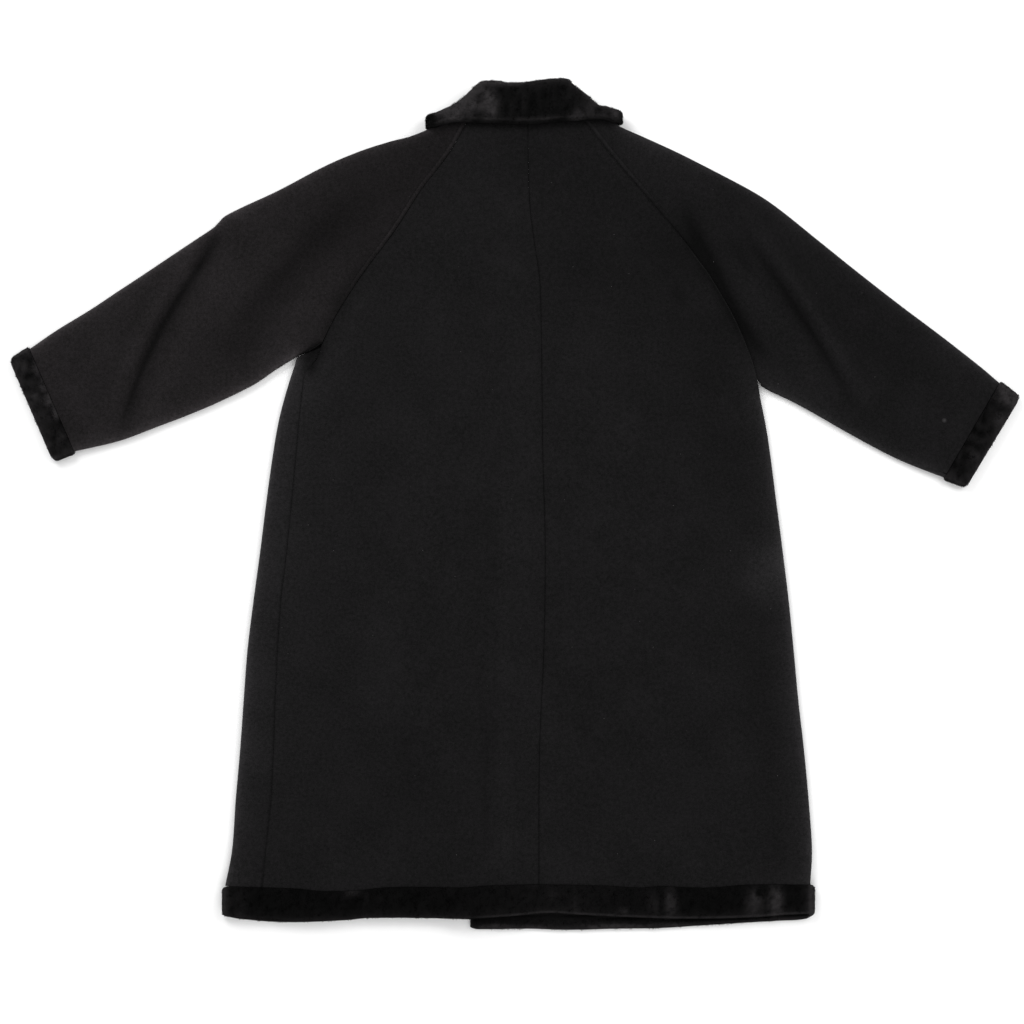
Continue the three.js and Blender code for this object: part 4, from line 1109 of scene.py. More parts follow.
@dataclass(frozen=True)
class SewingThread:
    """Black polyester thread, twisted: a little smoother than the wool, so a stitch catches light."""

    name: str = "sewing_thread"
    colour: str = "#0b0b0b"
    ply_mm: float = 0.6

    def build(self) -> bpy.types.Material:
        """Make the material."""
        material, tree = new_material(self.name)
        place = add_node(tree, "TexCoord").outputs["Object"]
        twist = add_node(
            tree, "TexWave", {"Vector": place, "Scale": 1 / (self.ply_mm * MM) / 6, "Distortion": 1.0}
        )
        bump = add_node(tree, "Bump", {"Height": twist.outputs["Fac"], "Strength": 0.4, "Distance": 0.1 * MM})
        tint = ramp(tree, twist.outputs["Fac"], ((0.0, "#060606"), (1.0, self.colour)))
        shader = add_node(
            tree,
            "BsdfPrincipled",
            {
                "Base Color": tint,
                "Roughness": 0.85,
                "Specular IOR Level": 0.1,
                "Normal": bump.outputs["Normal"],
            },
        )
        add_node(tree, "OutputMaterial", {"Surface": shader.outputs["BSDF"]})
        return material


# ---------------------------------------------------------------- the wool
def nap_and_painted_light(thing: bpy.types.Object, skin: "Skin", outward: float = 0.0) -> bpy.types.Object:
    """Store on each point of a wall how light the cloth is painted there: painted light and painted shade,
    with a faint mottle.

    Args:
        thing: The wall's object.
        skin: Its outside.
        outward: How much lighter the cloth is painted away from the neck, a painted light.

    Returns:
        The same object.
    """
    x, y = skin.at[..., 0].ravel(), skin.at[..., 1].ravel()
    # painted light and painted shade: lighter away from the neck, darker where outward is below zero
    gain = 1 + outward * ease(np.hypot(x, y - 500), 120, 520)
    layer = thing.data.attributes.new("tone", "FLOAT", "POINT")
    layer.data.foreach_set("value", np.tile(LIE.tone(x, y) * gain, 2).astype(np.float32))
    return thing


def settle(thing: bpy.types.Object, material: bpy.types.Material, slot: str, *nodes: str) -> None:
    """Give a piece its finish, its body and the nodes that it stands for."""
    thing.data.materials.append(material)
    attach(thing, "root")
    if nodes:
        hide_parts(*nodes)
    triangles = sum(len(p.vertices) - 2 for p in thing.data.polygons)
    LOG.info("%s: %d triangles", thing.name, triangles)


def declare(
    thing: bpy.types.Object, skin: "Skin", held: "Held", rests: Sequence[str], **more: object
) -> None:
    """Say from what cut a sheet was made, how it is held and what it lies on.

    Args:
        thing: The sheet.
        skin: Its outside.
        held: Not used.
        rests: Not used.
        more: Whether it is a ring or is slanted; the pieces that go with it are not used.
    """
    flat, area = skin.cut(bool(more.get("ring")), bool(more.get("slanted")))
    LOG.info("%s: cut %.0f x %.0f mm, %.4f m2", thing.name, flat[0] / MM, flat[1] / MM, area)


@dataclass
class Back:
    """The two halves of the back, joined down the middle."""

    bench: Bench
    step: float = 6.0

    def rows(self) -> tuple[Array, Array]:
        """Give each row's level, and how far it has bent to the neckline."""
        plain = spread(HEM_Y + SEAM / 2, TOP_ROW_Y, self.step, (0.8, 2, 4))
        top = neck_back(0) - SEAM
        bent = np.linspace(0, 1, 6)[1:]
        level = np.concatenate([plain, mix(TOP_ROW_Y, top, bent)])
        return level, np.concatenate([np.zeros(len(plain)), bent])

    def place(self, x: Array, level: Array, bent: Array) -> Array:
        """Give each point's y: its row's level, or bent to the neckline."""
        return np.where(bent > 0, mix(TOP_ROW_Y, neck_back(x) - SEAM, bent), level + hem_shift(x, level))

    def left_edge(self, y: Array) -> Array:
        """Give the left half's outer seam."""
        side = SIDES.straight("y", "left_seam", y)
        return np.where(y < ARMPIT_Y, side, RAGLAN_LEFT.smooth("y", "x", y)) + half_gap(y)

    def right_edge(self, y: Array) -> Array:
        """Give the right half's outer line: the body's fold, then the edge over the sleeve."""
        fold = SIDES.smooth("y", "right_fold", y)
        return np.where(y < 150, fold, RAGLAN_RIGHT.smooth("y", "x", y) - half_gap(y))

    def right_top(self, x: Array, y: Array, level: Array) -> Array:
        """Give the outside of the right half, which stands up over the sleeve."""
        inward = (self.right_edge(level) - x) / 75
        lift = RIGHT_EDGE.straight("y", "lift", level)
        return LIE.top(x, y) + lift * (1 - ease(inward, 0, 1))

    def left_half(self) -> Skin:
        """Lay out the left half."""
        level, bent = self.rows()
        u = spread(0, 390, self.step, NEAR_SEAM) / 390
        edge, centre = self.left_edge(level), CENTRE_SEAM.smooth("y", "x", level) - half_gap(level)
        x = edge[:, None] + (centre - edge)[:, None] * u[None]
        y = self.place(x, level[:, None], bent[:, None])
        return Skin.flat(x, y, LIE.top(x, y) + LIE.seams(x, y), 1)

    def right_half(self) -> Skin:
        """Lay out the right half, with its edge turned over and under.

        Returns:
            The skin, from the centre seam round the edge to the side seam on the underside.
        """
        level, bent = self.rows()
        turn = np.radians(RIGHT_EDGE.straight("y", "turn", level))
        under = ease(turn, math.pi / 2, math.pi)
        edge = self.right_edge(level)

        def roll_from(x: Array) -> Array:
            """Give the turn's radius where it begins at x."""
            return mix(COVER_ROLL, self.right_top(x, level, level) / 2, under)

        first = roll_from(edge - EDGE_HEIGHT / 2)
        width = edge - first - SIDES.smooth("y", "right_seam", level) - SEAM / 2
        tail = mix(SHORT_TAIL, np.maximum(width, SHORT_TAIL), RIGHT_EDGE.straight("y", "tail", level))
        begin = edge - first * np.sin(np.minimum(turn, math.pi / 2)) - np.maximum(0, tail * np.cos(turn))
        radius = roll_from(begin)
        u = spread(0, 370, self.step, NEAR_SEAM[:5]) / 370
        centre = CENTRE_SEAM.smooth("y", "x", level) + half_gap(level)
        x = centre[:, None] + (begin - centre)[:, None] * u[None]
        y = self.place(x, level[:, None], bent[:, None])
        flat = Skin.flat(x, y, self.right_top(x, y, level[:, None]) + LIE.seams(x, y), 1)
        start = flat.at[:, -1].copy()
        start[:, 2] = self.right_top(begin, level, level)
        way = np.tile([1.0, 0.0], (len(level), 1))
        turned = turned_edge(start, way, 1, radius, turn, tail, 10, 6)
        turned.at[..., 1] = level[:, None] + hem_shift(turned.at[..., 0], level[:, None])
        turned.at[level > TOP_ROW_Y, :, 1] = start[level > TOP_ROW_Y, None, 1]
        return flat.beside(turned)

    def build(self, wool: bpy.types.Material) -> None:
        """Make both halves."""
        halves = (("back_left", self.left_half(), Held.LAID), ("back_right", self.right_half(), Held.FOLDED))
        for name, skin, held in halves:
            thing = nap_and_painted_light(self.bench.wall(name + "_cloth", skin, WOOL), skin)
            settle(thing, wool, "wool", name)
            declare(thing, skin, held, ["front_left", "front_right"])


@dataclass
class Fronts:
    """The two fronts, which lie on the floor. The left one turns up over the left edge."""

    bench: Bench
    back: Back
    step: float = 9.0

    def rows(self) -> Array:
        """Give the levels of the rows at the side."""
        return spread(HEM_Y + SEAM / 2, ARMPIT_Y, self.step, (0.8, 2, 4))

    @staticmethod
    def finer(shares: Array, parts: int) -> Array:
        """Split each step between corners into equal parts."""
        steps = [np.linspace(a, b, parts + 1)[:-1] for a, b in zip(shares[:-1], shares[1:])]
        return np.concatenate(steps + [shares[-1:]])

    def left(self) -> Skin:
        """Lay out the left front.

        Returns:
            The skin, from the side seam on top round the fold and across the floor.
        """
        level = self.rows()
        fold = SIDES.smooth("y", "left_fold", level)
        radius = LIE.top(fold + 6, level) / 2
        begin = fold + radius
        neck = [neck_front(Side.LEFT, d) for d in FRONT_NECK_DEGREES]
        neck.append((NECK_X + OVERLAP, NECK_Y - NECK_DROP))
        seam = [(x, y - SEAM) for x, y in FRONT_RAGLAN_LEFT.pairs()[1:] + neck]
        over = Line([(float(begin[-1]), float(level[-1]))] + seam)
        u = self.finer(over.shares, 6)
        hem_end = CLOSING_HEM_X + OVERLAP
        x = mix(begin[0], hem_end, u)
        bottom = np.stack([x, front_hem(x) + SEAM / 2], -1)
        v = (level - level[0]) / (level[-1] - level[0])
        right = bottom[-1][None] + (over.at(np.array([1.0])) - bottom[-1][None]) * v[:, None]
        plan = patch(bottom, over.at(u), np.stack([begin, level], -1), right, u, v)
        x, y = plan[..., 0], plan[..., 1]
        floor = Skin.flat(x, y, LIE.left_front(x, y), -1)
        start = np.stack([begin, level, LIE.left_front(begin, level)], -1)
        tail = self.back.left_edge(level) - SEAM - begin
        way = np.tile([-1.0, 0.0], (len(level), 1))
        wrap = turned_edge(start, way, -1, radius, np.full(len(level), math.pi), tail, 12, 12)
        lifted = wrap.at[:, 12:]
        folded = LIE.top(lifted[..., 0], lifted[..., 1]) - 2 * radius[:, None]
        share = np.linspace(0, 1, lifted.shape[1])[None]
        lifted[..., 2] += folded * ease(share, 0, 0.5) + LIE.seams(lifted[..., 0], lifted[..., 1])
        # Near the hem the turned cloth follows the hem line, and at the top it runs up under the sleeve.
        round_fold = ease(np.arange(1, wrap.at.shape[1] + 1), 0, 12)[None]
        wrap.at[..., 1] += round_fold * hem_shift(wrap.at[..., 0], level[:, None])
        top = LEFT_UNDERARM.smooth("x", "y", np.maximum(wrap.at[..., 0], -306)) - 0.8
        raised = (top - ARMPIT_Y) * ease(level, ARMPIT_Y - 45, ARMPIT_Y)[:, None]
        raised = raised * ease(wrap.at[..., 0], -308, -303)
        wrap.at[..., 1] += raised
        seam_x = self.back.left_edge(np.maximum(level, wrap.at[:, -1, 1])) - self.back.left_edge(level)
        seam_x[level < ARMPIT_Y - 45] = 0
        wrap.at[..., 0] += seam_x[:, None] * ease(np.arange(1, wrap.at.shape[1] + 1), 10, 24)[None]
        return wrap.reverse().beside(floor)

    def right(self) -> Skin:
        """Lay out the right front."""
        level = self.rows()
        hem_x = CLOSING_HEM_X - OVERLAP
        hem_y = float(right_front_hem(-62)) + SEAM / 2
        points = [(NECK_X - OVERLAP, NECK_Y - NECK_DROP)]
        points += [neck_front(Side.RIGHT, d) for d in reversed(FRONT_NECK_DEGREES)]
        points += FRONT_RAGLAN_RIGHT.pairs()[:0:-1] + [RIGHT_ARMPIT]
        top = Line([(x, y - SEAM) for x, y in points])
        u = self.finer(top.shares, 5)
        v = (level - level[0]) / (level[-1] - level[0])
        last = top.at(np.array([1.0]))[0]
        side_y = mix(HEM_Y, last[1], v)
        side = np.stack([SIDES.smooth("y", "right_seam", side_y) - SEAM / 2, side_y], -1)
        side[-1] = last
        start = np.array([hem_x, hem_y])
        bottom = start[None] + (side[0] + [0, SEAM / 2] - start)[None] * u[:, None]
        left = start[None] + (top.at(np.array([0.0])) - start[None]) * v[:, None]
        plan = patch(bottom, top.at(u), left, side, u, v)
        x, y = plan[..., 0], plan[..., 1]
        return Skin.flat(x, y, LIE.floor(x, y), -1)

    def build(self, wool: bpy.types.Material) -> None:
        """Make both fronts."""
        sides = (("front_left", self.left(), Held.FOLDED), ("front_right", self.right(), Held.LAID))
        for name, skin, held in sides:
            thing = nap_and_painted_light(self.bench.wall(name + "_cloth", skin, WOOL), skin)
            settle(thing, wool, "wool", name)
            declare(thing, skin, held, ["table_top"])


@dataclass
class Sleeve:
    """One half of a raglan sleeve: the upper one shows, the lower one lies on the floor."""

    name: str
    seam: Sequence[tuple[float, float]]
    corners: tuple[tuple[float, float], tuple[float, float]]
    under: Table
    over: Table
    starts: tuple[float, float]
    up: int
    across: int
    shares: tuple[float, ...] = (0, 0.008, 0.024, 0.06, 0.17, 0.35, 0.6, 1)

    def lengths(self) -> Array:
        """Give the shares of the length at which its rows lie, close together at the armhole."""
        close = np.linspace(0, 0.04, 14 if self.up > 0 else 6)
        even = np.linspace(0.04, 1, 110 if self.up > 0 else 60)
        return np.unique(np.concatenate([close, self.shares, even]))

    def edge(self, table: Table, start: float, end: tuple[float, float], v: Array) -> Array:
        """Give points along a folded edge, from the armhole to the cuff."""
        x = mix(start, end[0], v)
        return np.stack([x, table.smooth("x", "y", x)], -1)

    def skin(self) -> Skin:
        """Lay out the half.

        Returns:
            The skin, from the middle of the underarm fold across to the middle of the overarm one.
        """
        v = self.lengths()
        armhole = Line(self.seam)
        knots = armhole.shares[1:-1]
        fine = Fronts.finer(knots, self.across)
        u = np.concatenate([[0, 0.02], fine, [0.98, 1]])
        cuff = np.array(self.corners)
        bottom = armhole.at(u)
        top = cuff[0][None] + (cuff[1] - cuff[0])[None] * u[:, None]
        left = self.edge(self.under, self.starts[0], self.corners[0], v)
        right = self.edge(self.over, self.starts[1], self.corners[1], v)
        plan = patch(bottom, top, left, right, u, v)
        middle = plan[:, 2:-2]
        ends = []
        folds = ((plan[:, 0], plan[:, 1], middle[:, 0]), (plan[:, -1], plan[:, -2], middle[:, -1]))
        for here, near, side in folds:
            way = (here - near) / np.linalg.norm(here - near, axis=1)[:, None]
            ends.append(self.turned(here, way, side))
        x, y = middle[..., 0], middle[..., 1]
        flat = Skin.flat(x, y, self.height(x, y), self.up)
        return ends[0].reverse().beside(flat, ends[1])

    def height(self, x: Array, y: Array) -> Array:
        """Give the outside's height."""
        if self.up > 0:
            return LIE.sleeve(x, y) + LIE.seams(x, y)
        return LIE.floor(x, y)

    def turned(self, here: Array, way: Array, side: Array) -> Skin:
        """Lay out the cloth from the flat part round to half the edge's height.

        Args:
            here: The outermost point of each row.
            way: The direction outwards.
            side: The nearest point of the flat part.

        Returns:
            The skin, outwards.
        """

        def half(p: Array) -> Array:
            """Give half the height of the sleeve's edge over a point."""
            return (LIE.sleeve(p[:, 0], p[:, 1]) - LIE.floor(p[:, 0], p[:, 1]) - SEAM) / 2

        radius = half(here - way * half(here - way * EDGE_HEIGHT / 2)[:, None])
        start = here - way * radius[:, None]
        share = np.linspace(0, 1, self.across + 2)[1:]
        between = side[:, None] + (start - side)[:, None] * share[None, :, None]
        x, y = between[..., 0], between[..., 1]
        z = self.height(x, y)
        plain = LIE.sleeve(x, y) if self.up > 0 else z
        flat = Skin.flat(x, y, mix(z, plain, ease(share, 0.6, 1)[None]), self.up)
        turn = np.full(len(here), math.pi / 2)
        return flat.beside(turned_edge(flat.at[:, -1], way, self.up, radius, turn, turn * 0, 7, 0))


def sleeve_halves() -> list[Sleeve]:
    """Give the four halves of the sleeves with their seams."""

    def top(x: float) -> float:
        """Give where cloth ends at the back of the neck."""
        return float(neck_back(x)) - SEAM

    def corner(table: Table, sign: int, x: float) -> tuple[float, float]:
        """Give where a raglan seam meets the neckline."""
        return float(table.smooth("y", "x", top(x))) + sign * SEAM / 2, top(x)

    def neck(side: Side) -> list[tuple[float, float]]:
        """Give the front neckline's stretch on a sleeve."""
        points = [neck_front(side, d) for d in SIDE_NECK_DEGREES]
        return [(x + side.value * SEAM, y - SEAM) for x, y in points]

    left_y = np.linspace(226, TOP_ROW_Y, 14)
    right_y = np.linspace(365, TOP_ROW_Y, 8)
    shown_left = list(zip(RAGLAN_LEFT.smooth("y", "x", left_y) - half_gap(left_y), left_y))
    shown_right = list(zip(RAGLAN_RIGHT.smooth("y", "x", right_y) + half_gap(right_y), right_y))
    left_neck = [corner(RAGLAN_LEFT, -1, -63), (-88.0, top(-88)), LEFT_SHOULDER]
    right_neck = [corner(RAGLAN_RIGHT, 1, 95), (117.0, top(117)), RIGHT_SHOULDER]
    front_left = [(x - SEAM / 2, y + 0.6) for x, y in FRONT_RAGLAN_LEFT.pairs()]
    front_right = [(x + SEAM / 2, y + 0.6) for x, y in FRONT_RAGLAN_RIGHT.pairs()]
    left_cuff = tuple((x + 1.5 * SEAM, y) for x, y in LEFT_CUFF[:2])
    right_cuff = tuple((x - 1.5 * SEAM, y) for x, y in RIGHT_CUFF[:2])
    left_seam = front_left + neck(Side.LEFT) + [LEFT_SHOULDER]
    right_seam = front_right + neck(Side.RIGHT) + [RIGHT_SHOULDER]
    right_back = RIGHT_TUCK.pairs() + shown_right + right_neck
    left_arm, right_arm = (LEFT_UNDERARM, LEFT_OVERARM), (RIGHT_UNDERARM, RIGHT_OVERARM)
    return [
        Sleeve("sleeve_left_back", shown_left + left_neck, left_cuff, *left_arm, (-270, -113.5), 1, 4),
        Sleeve("sleeve_left_front", left_seam, left_cuff, *left_arm, (-304, -113.5), -1, 6),
        Sleeve("sleeve_right_back", right_back, right_cuff, *right_arm, (346, 140.5), 1, 4),
        Sleeve("sleeve_right_front", right_seam, right_cuff, *right_arm, (346, 140.5), -1, 6),
    ]


@dataclass
class Topstitch:
    """A row of stitches along the edge of each raglan welt."""

    bench: Bench
    length: float = 2.6
    pitch: float = 3.8
    width: float = 0.55
    faces: int = 6

    def build(self, thread: bpy.types.Material) -> None:
        """Make one mesh of all the stitches.

        Args:
            thread: The thread's finish.
        """
        points: list[Array] = []
        faces: list[Array] = []
        for side, table, low in ((Side.LEFT, RAGLAN_LEFT, 300.0), (Side.RIGHT, RAGLAN_RIGHT, 400.0)):
            y = np.linspace(low, 534, 400)
            x = table.smooth("y", "x", y)
            tangent = np.stack([np.gradient(x, y), np.ones(len(y))], -1)
            tangent /= np.linalg.norm(tangent, axis=1)[:, None]
            across = np.stack([tangent[:, 1], -tangent[:, 0]], -1) * side.value
            line = np.stack([x, y], -1) + across * (LIE.welt - 1.6)
            reach = np.concatenate([[0], np.cumsum(np.linalg.norm(np.diff(line, axis=0), axis=1))])
            for s in np.arange(2, reach[-1] - 4, self.pitch):
                places = (s, s + self.length)
                ends = np.array([[np.interp(q, reach, line[:, k]) for k in (0, 1)] for q in places])
                self.stitch(ends, points, faces)
        base = np.concatenate(points)
        settle(self.bench.mesh("raglan_topstitch", base, np.concatenate(faces)), thread, "wool")

    def stitch(self, ends: Array, points: list[Array], faces: list[Array]) -> None:
        """Add one stitch, a short round-ended bar half sunk in the nap.

        Args:
            ends: Its two ends in plan.
            points: Gets the points.
            faces: Gets the faces.
        """
        way = (ends[1] - ends[0]) / np.linalg.norm(ends[1] - ends[0])
        side = np.array([-way[1], way[0]])
        z = LIE.sleeve(ends[:, 0], ends[:, 1]) + LIE.seams(ends[:, 0], ends[:, 1])
        rings = []
        for share, size in ((0, 0.35), (0.2, 1.0), (0.8, 1.0), (1, 0.35)):
            centre = mix(ends[0], ends[1], share)
            height = mix(z[0], z[1], share) + 0.12 - 0.25 * (1 - size)
            angle = np.arange(self.faces) * math.tau / self.faces
            plan = centre[None] + side[None] * (np.cos(angle) * size * self.width / 2)[:, None]
            rings.append(np.column_stack([plan, height + np.sin(angle) * size * self.width / 2]))
        n, first = self.faces, sum(len(p) for p in points)
        points.append(np.concatenate(rings))
        i = np.arange(n)
        for r in range(len(rings) - 1):
            a, b = first + r * n + i, first + r * n + (i + 1) % n
            faces.append(np.stack([a, b, b + n, a + n], 1))
        for r in (0, len(rings) - 1):
            ring = first + r * n
            caps = np.array([[ring, ring + 1, ring + 2, ring + 3], [ring, ring + 3, ring + 4, ring + 5]])
            faces.append(caps if r else caps[:, ::-1])


# ---------------------------------------------------------------- the fur
@dataclass(frozen=True)
class BrushMark:
    """A patch where the pile has been brushed over and looks grey."""

    x: float
    y: float
    wide: float
    tall: float
    strength: float


MARKS = (
    BrushMark(-88, 556, 28, 22, 0.95),  # the collar
    BrushMark(-60, 574, 26, 24, 0.95),
    BrushMark(-34, 556, 12, 18, 0.75),
    BrushMark(-20, 589, 32, 6, 0.5),
    BrushMark(-48, 566, 8, 9, -0.6),
    BrushMark(-40, 579, 5, 6, -0.3),
    BrushMark(-122, 536, 12, 14, -0.7),
    BrushMark(12, 556, 3, 16, 0.12),
    BrushMark(112, 552, 22, 14, 0.3),
    BrushMark(142, 545, 8, 9, 0.6),
    BrushMark(118, 551, 5, 5, -0.4),
    BrushMark(88, 541, 12, 8, 0.4),
    BrushMark(-228, -541, 12, 7, 0.28),  # the hem
    BrushMark(-384, -556, 12, 24, 0.12),
    BrushMark(-207, -550, 4, 12, 0.08),
    BrushMark(-190, -546, 5, 8, 0.08),
    BrushMark(152, -566, 6, 5, 0.3),
    BrushMark(194, -556, 8, 18, 0.22),
    BrushMark(218, -556, 9, 20, 0.5),
    BrushMark(84, -556, 4, 18, 0.14),
    BrushMark(335, -556, 12, 19, 0.6),
    BrushMark(341, -543, 4, 5, -0.6),
    BrushMark(365, -554, 11, 22, 0.8),
    BrushMark(416, -554, 5, 18, 0.7),
    BrushMark(52, -546, 6, 8, 0.14),
    BrushMark(-22, -590, 24, 4, 0.6),
    BrushMark(30, -591, 24, 3.5, 0.35),
    BrushMark(140, -590, 40, 4, 0.7),
    BrushMark(215, -588, 30, 3, 0.4),
    BrushMark(-690, 192, 9, 12, 0.35),  # the left cuff
    BrushMark(-668, 192, 5, 12, 0.4),
    BrushMark(-657, 166, 6, 9, 0.5),
    BrushMark(-648, 147, 8, 9, 0.75),
    BrushMark(-640, 128, 6, 9, 0.55),
    BrushMark(-672, 150, 6, 8, 0.25),
    BrushMark(-634, 92, 6, 9, 0.3),
    BrushMark(-662, 150, 22, 70, 0.17),
    BrushMark(695, 152, 12, 16, 0.85),  # the right cuff
    BrushMark(680, 156, 10, 12, 0.5),
    BrushMark(676, 118, 10, 14, 0.35),
    BrushMark(642, 66, 6, 14, 0.25),
)


@dataclass(frozen=True)
class FurPiece:
    """What names a fur piece and where it lies."""

    node: str
    seed: int
    held: Held
    rests: tuple[str, ...]


@dataclass
class Pile:
    """The sheared pile over a skin: short blades that lean as they were brushed."""

    bench: Bench
    fur: bpy.types.Material
    depth: float = 3.0  # from the skin down to where the blades stand
    per_mm2: float = 0.8
    width: float = 1.1
    lean: float = 0.55
    proud: float = 0.8
    most: int = 90000
    # painted light: how much lighter the pile is painted at the outline, fading over rim_mm
    rim: float = 0.66  # how much lighter the pile is drawn at the outline
    rim_mm: float = 4.5

    def brushed(self, x: Array, y: Array) -> Array:
        """Give how far the pile is brushed over, with the painted light along its rolled edges and outline
        added, from 0 to 1.
        """
        total = 0.03 + 0.012 * ripple(x, y, 9, 21) + 0.012 * ripple(x, y, 26, 22)
        total += np.where(y > 400, 0.03 * (1 + ripple(x, 0.3 * y, 7, 25)), 0)
        total += np.where(np.abs(x) > 560, 0.07 * (1 + ripple(x, y, 9, 26)), 0)
        ragged = np.clip(1 + 0.25 * ripple(x, y, 9, 23) + 0.2 * ripple(x, y, 4, 24), 0.1, 1.8)
        for mark in MARKS:
            far = ((x - mark.x) / mark.wide) ** 2 + ((y - mark.y) / mark.tall) ** 2
            total += mark.strength * np.exp(-(far**1.5)) * ragged
        total += np.where(y < -500, 0.09 * np.exp(-(((x - 60) / 110) ** 2)), 0)
        # painted light along the rolled edges and the outline
        return np.clip(total + self.rims(x, y) + self.edges(x, y), 0, 1)

    def edges(self, x: Array, y: Array) -> Array:
        """Give how much lighter the pile is painted near its outline, a painted light."""
        low = BACK_HEM.smooth("x", "y", np.clip(x, -410, 421))
        low = np.minimum(low, np.where(x < -22, LEFT_FRONT_HEM.straight("x", "y", x), 0))
        low = np.minimum(low, np.where(x > -62, RIGHT_FRONT_HEM.straight("x", "y", x), 0))
        side = np.minimum(x - SIDES.smooth("y", "left_fold", y), SIDES.smooth("y", "right_fold", y) - x)
        far = np.where(y < -500, np.minimum(y - low, side), 99)
        far = np.minimum(far, np.where(y > 480, distance_to(list(zip(*self.roll())), x, y), 99))
        for corners in (LEFT_CUFF, RIGHT_CUFF):
            loop = [corners[0], corners[2], corners[3], corners[1]]
            far = np.minimum(far, distance_to(loop, x, y))
        return self.rim * np.exp(-np.maximum(far, 0) / self.rim_mm)

    @staticmethod
    def roll() -> tuple[Array, Array]:
        """Give the top of the collar as x and y."""
        return COLLAR_BACK.columns["x"], COLLAR_BACK.columns["roll"]

    def rims(self, x: Array, y: Array) -> Array:
        """Give the painted highlight where the pile rolls over the free edge of the collar and of the hem,
        and a painted shade just below the back's hem edge.
        """
        fall = y - COLLAR_BACK.straight("x", "fall", x)
        collar = (0.26 + 0.12 * ripple(x, y, 14, 27)) * np.exp(-(((fall - 6.5) / 1.8) ** 2))
        collar = collar * ease(y, 480, 500) * ease(-np.abs(x - 10), -135, -105)
        hem = y - BACK_HEM.smooth("x", "y", np.clip(x, -405, 415))
        shown = ease(x, -75, -20) * (y < 0)
        total = collar + 0.10 * shown * np.exp(-(((hem - 1.8) / 7) ** 2))
        total += 0.5 * shown * np.exp(-(((hem - 1.8) / 1.5) ** 2))
        return total - 0.3 * shown * np.exp(-(((hem + 2.5) / 2) ** 2))

    def mark(self, thing: bpy.types.Object, x: Array, y: Array) -> None:
        """Store on each point how far the pile is brushed over, with the painted light along its edges."""
        layer = thing.data.attributes.new("brushed", "FLOAT", "POINT")
        layer.data.foreach_set("value", self.brushed(x, y).astype(np.float32))

    def base(self, name: str, skin: Skin, full: Array | None, ring: bool, node: str) -> bpy.types.Object:
        """Make the leather and the lower pile as one lumpy wall.

        Args:
            name: The object's name.
            skin: The outside of the fur.
            full: For each row, the share of the wall that is there.
            ring: Whether the last column joins the first.
            node: The node that it replaces.

        Returns:
            The wall's object.
        """
        x, y = skin.at[..., 0], skin.at[..., 1]
        shows = ease(skin.out[..., 2], -0.5, 0.3)
        lump = 0.45 * ripple(x, y, 8, 31) + 0.35 * ripple(x, y, 3.2, 32)
        sink = (1.0 + np.clip(lump, -0.9, 0.9)) * shows
        sunk = Skin(skin.at - skin.out * sink[..., None], skin.out)
        thing = self.bench.wall(name, sunk, FUR - 1.6, full, ring)
        count = skin.at.shape[0] * skin.at.shape[1]
        self.mark(thing, np.tile(x.ravel()[:count], 2), np.tile(y.ravel()[:count], 2))
        settle(thing, self.fur, "fur", node)
        return thing

    def blades(
        self, name: str, skin: Skin, full: Array | None, ring: bool, seed: int
    ) -> list[bpy.types.Object]:
        """Stand blades all over the part of the skin that doesn't face the floor.

        Args:
            name: The object's name.
            skin: The outside of the fur.
            full: For each row, the share of the wall that is there.
            ring: Whether the last column joins the first.
            seed: Which random draws to make.

        Returns:
            The blades' one object, or nothing where no part of the skin shows.
        """
        rng = np.random.default_rng(seed)
        at, out = skin.at, skin.out
        if full is not None:
            at = at - out * (FUR / 2 * (1 - full))[:, None, None]
        if ring:
            at, out = np.concatenate([at, at[:, :1]], 1), np.concatenate([out, out[:, :1]], 1)
        a, b, c = at[:-1, :-1], at[:-1, 1:], at[1:, :-1]
        area = np.linalg.norm(np.cross(b - a, c - a), axis=-1)
        area = np.where((out[:-1, :-1, 2] > -0.6) & (a[..., 2] > 1.2), area, 0)
        if not area.any():
            return []
        count = min(int(area.sum() * self.per_mm2), self.most)
        cell = rng.choice(area.size, count, p=(area / area.sum()).ravel())
        r, col = np.unravel_index(cell, area.shape)
        s, t = rng.random((2, count, 1))

        def blend(grid: Array) -> Array:
            """Read a grid inside its cells."""
            low = grid[r, col] * (1 - s) + grid[r, col + 1] * s
            high = grid[r + 1, col] * (1 - s) + grid[r + 1, col + 1] * s
            return low * (1 - t) + high * t

        place, normal = blend(at), blend(out)
        normal /= np.linalg.norm(normal, axis=1)[:, None]
        x, y = place[:, 0], place[:, 1]
        heading = math.pi * (0.9 * ripple(x, y, 30, 41) + 0.35 * ripple(x, y, 8, 42)) - 1.2
        heading += rng.normal(0, 0.5, count)
        flow = np.stack([np.cos(heading), np.sin(heading), np.zeros(count)], 1)
        flow -= normal * np.einsum("ij,ij->i", flow, normal)[:, None]
        flow /= np.linalg.norm(flow, axis=1)[:, None] + 1e-6
        tilt = self.lean * (0.4 + 0.9 * self.brushed(x, y) + 0.25 * rng.random(count))
        rise = self.depth + self.proud * rng.uniform(-0.6, 1.0, count) + 0.35 * ripple(x, y, 5, 43)
        root = place - normal * self.depth
        tip = root + normal * rise[:, None] + flow * (tilt * self.depth)[:, None]
        tip[:, 2] = np.maximum(tip[:, 2], 0.3)
        root[:, 2] = np.maximum(root[:, 2], 0.3)
        spin = rng.uniform(0, math.pi, count)
        beside = np.cross(normal, flow)
        edge = flow * np.cos(spin)[:, None] + beside * np.sin(spin)[:, None]
        edge *= (self.width * rng.uniform(0.35, 0.6, count))[:, None]
        points = np.stack([root - edge, root + edge, tip], 1).reshape(-1, 3)
        faces = np.arange(3 * count).reshape(-1, 3)
        thing = self.bench.mesh(name, points, faces)
        self.mark(thing, np.repeat(x, 3), np.repeat(y, 3))
        settle(thing, self.fur, "fur")
        return [thing]

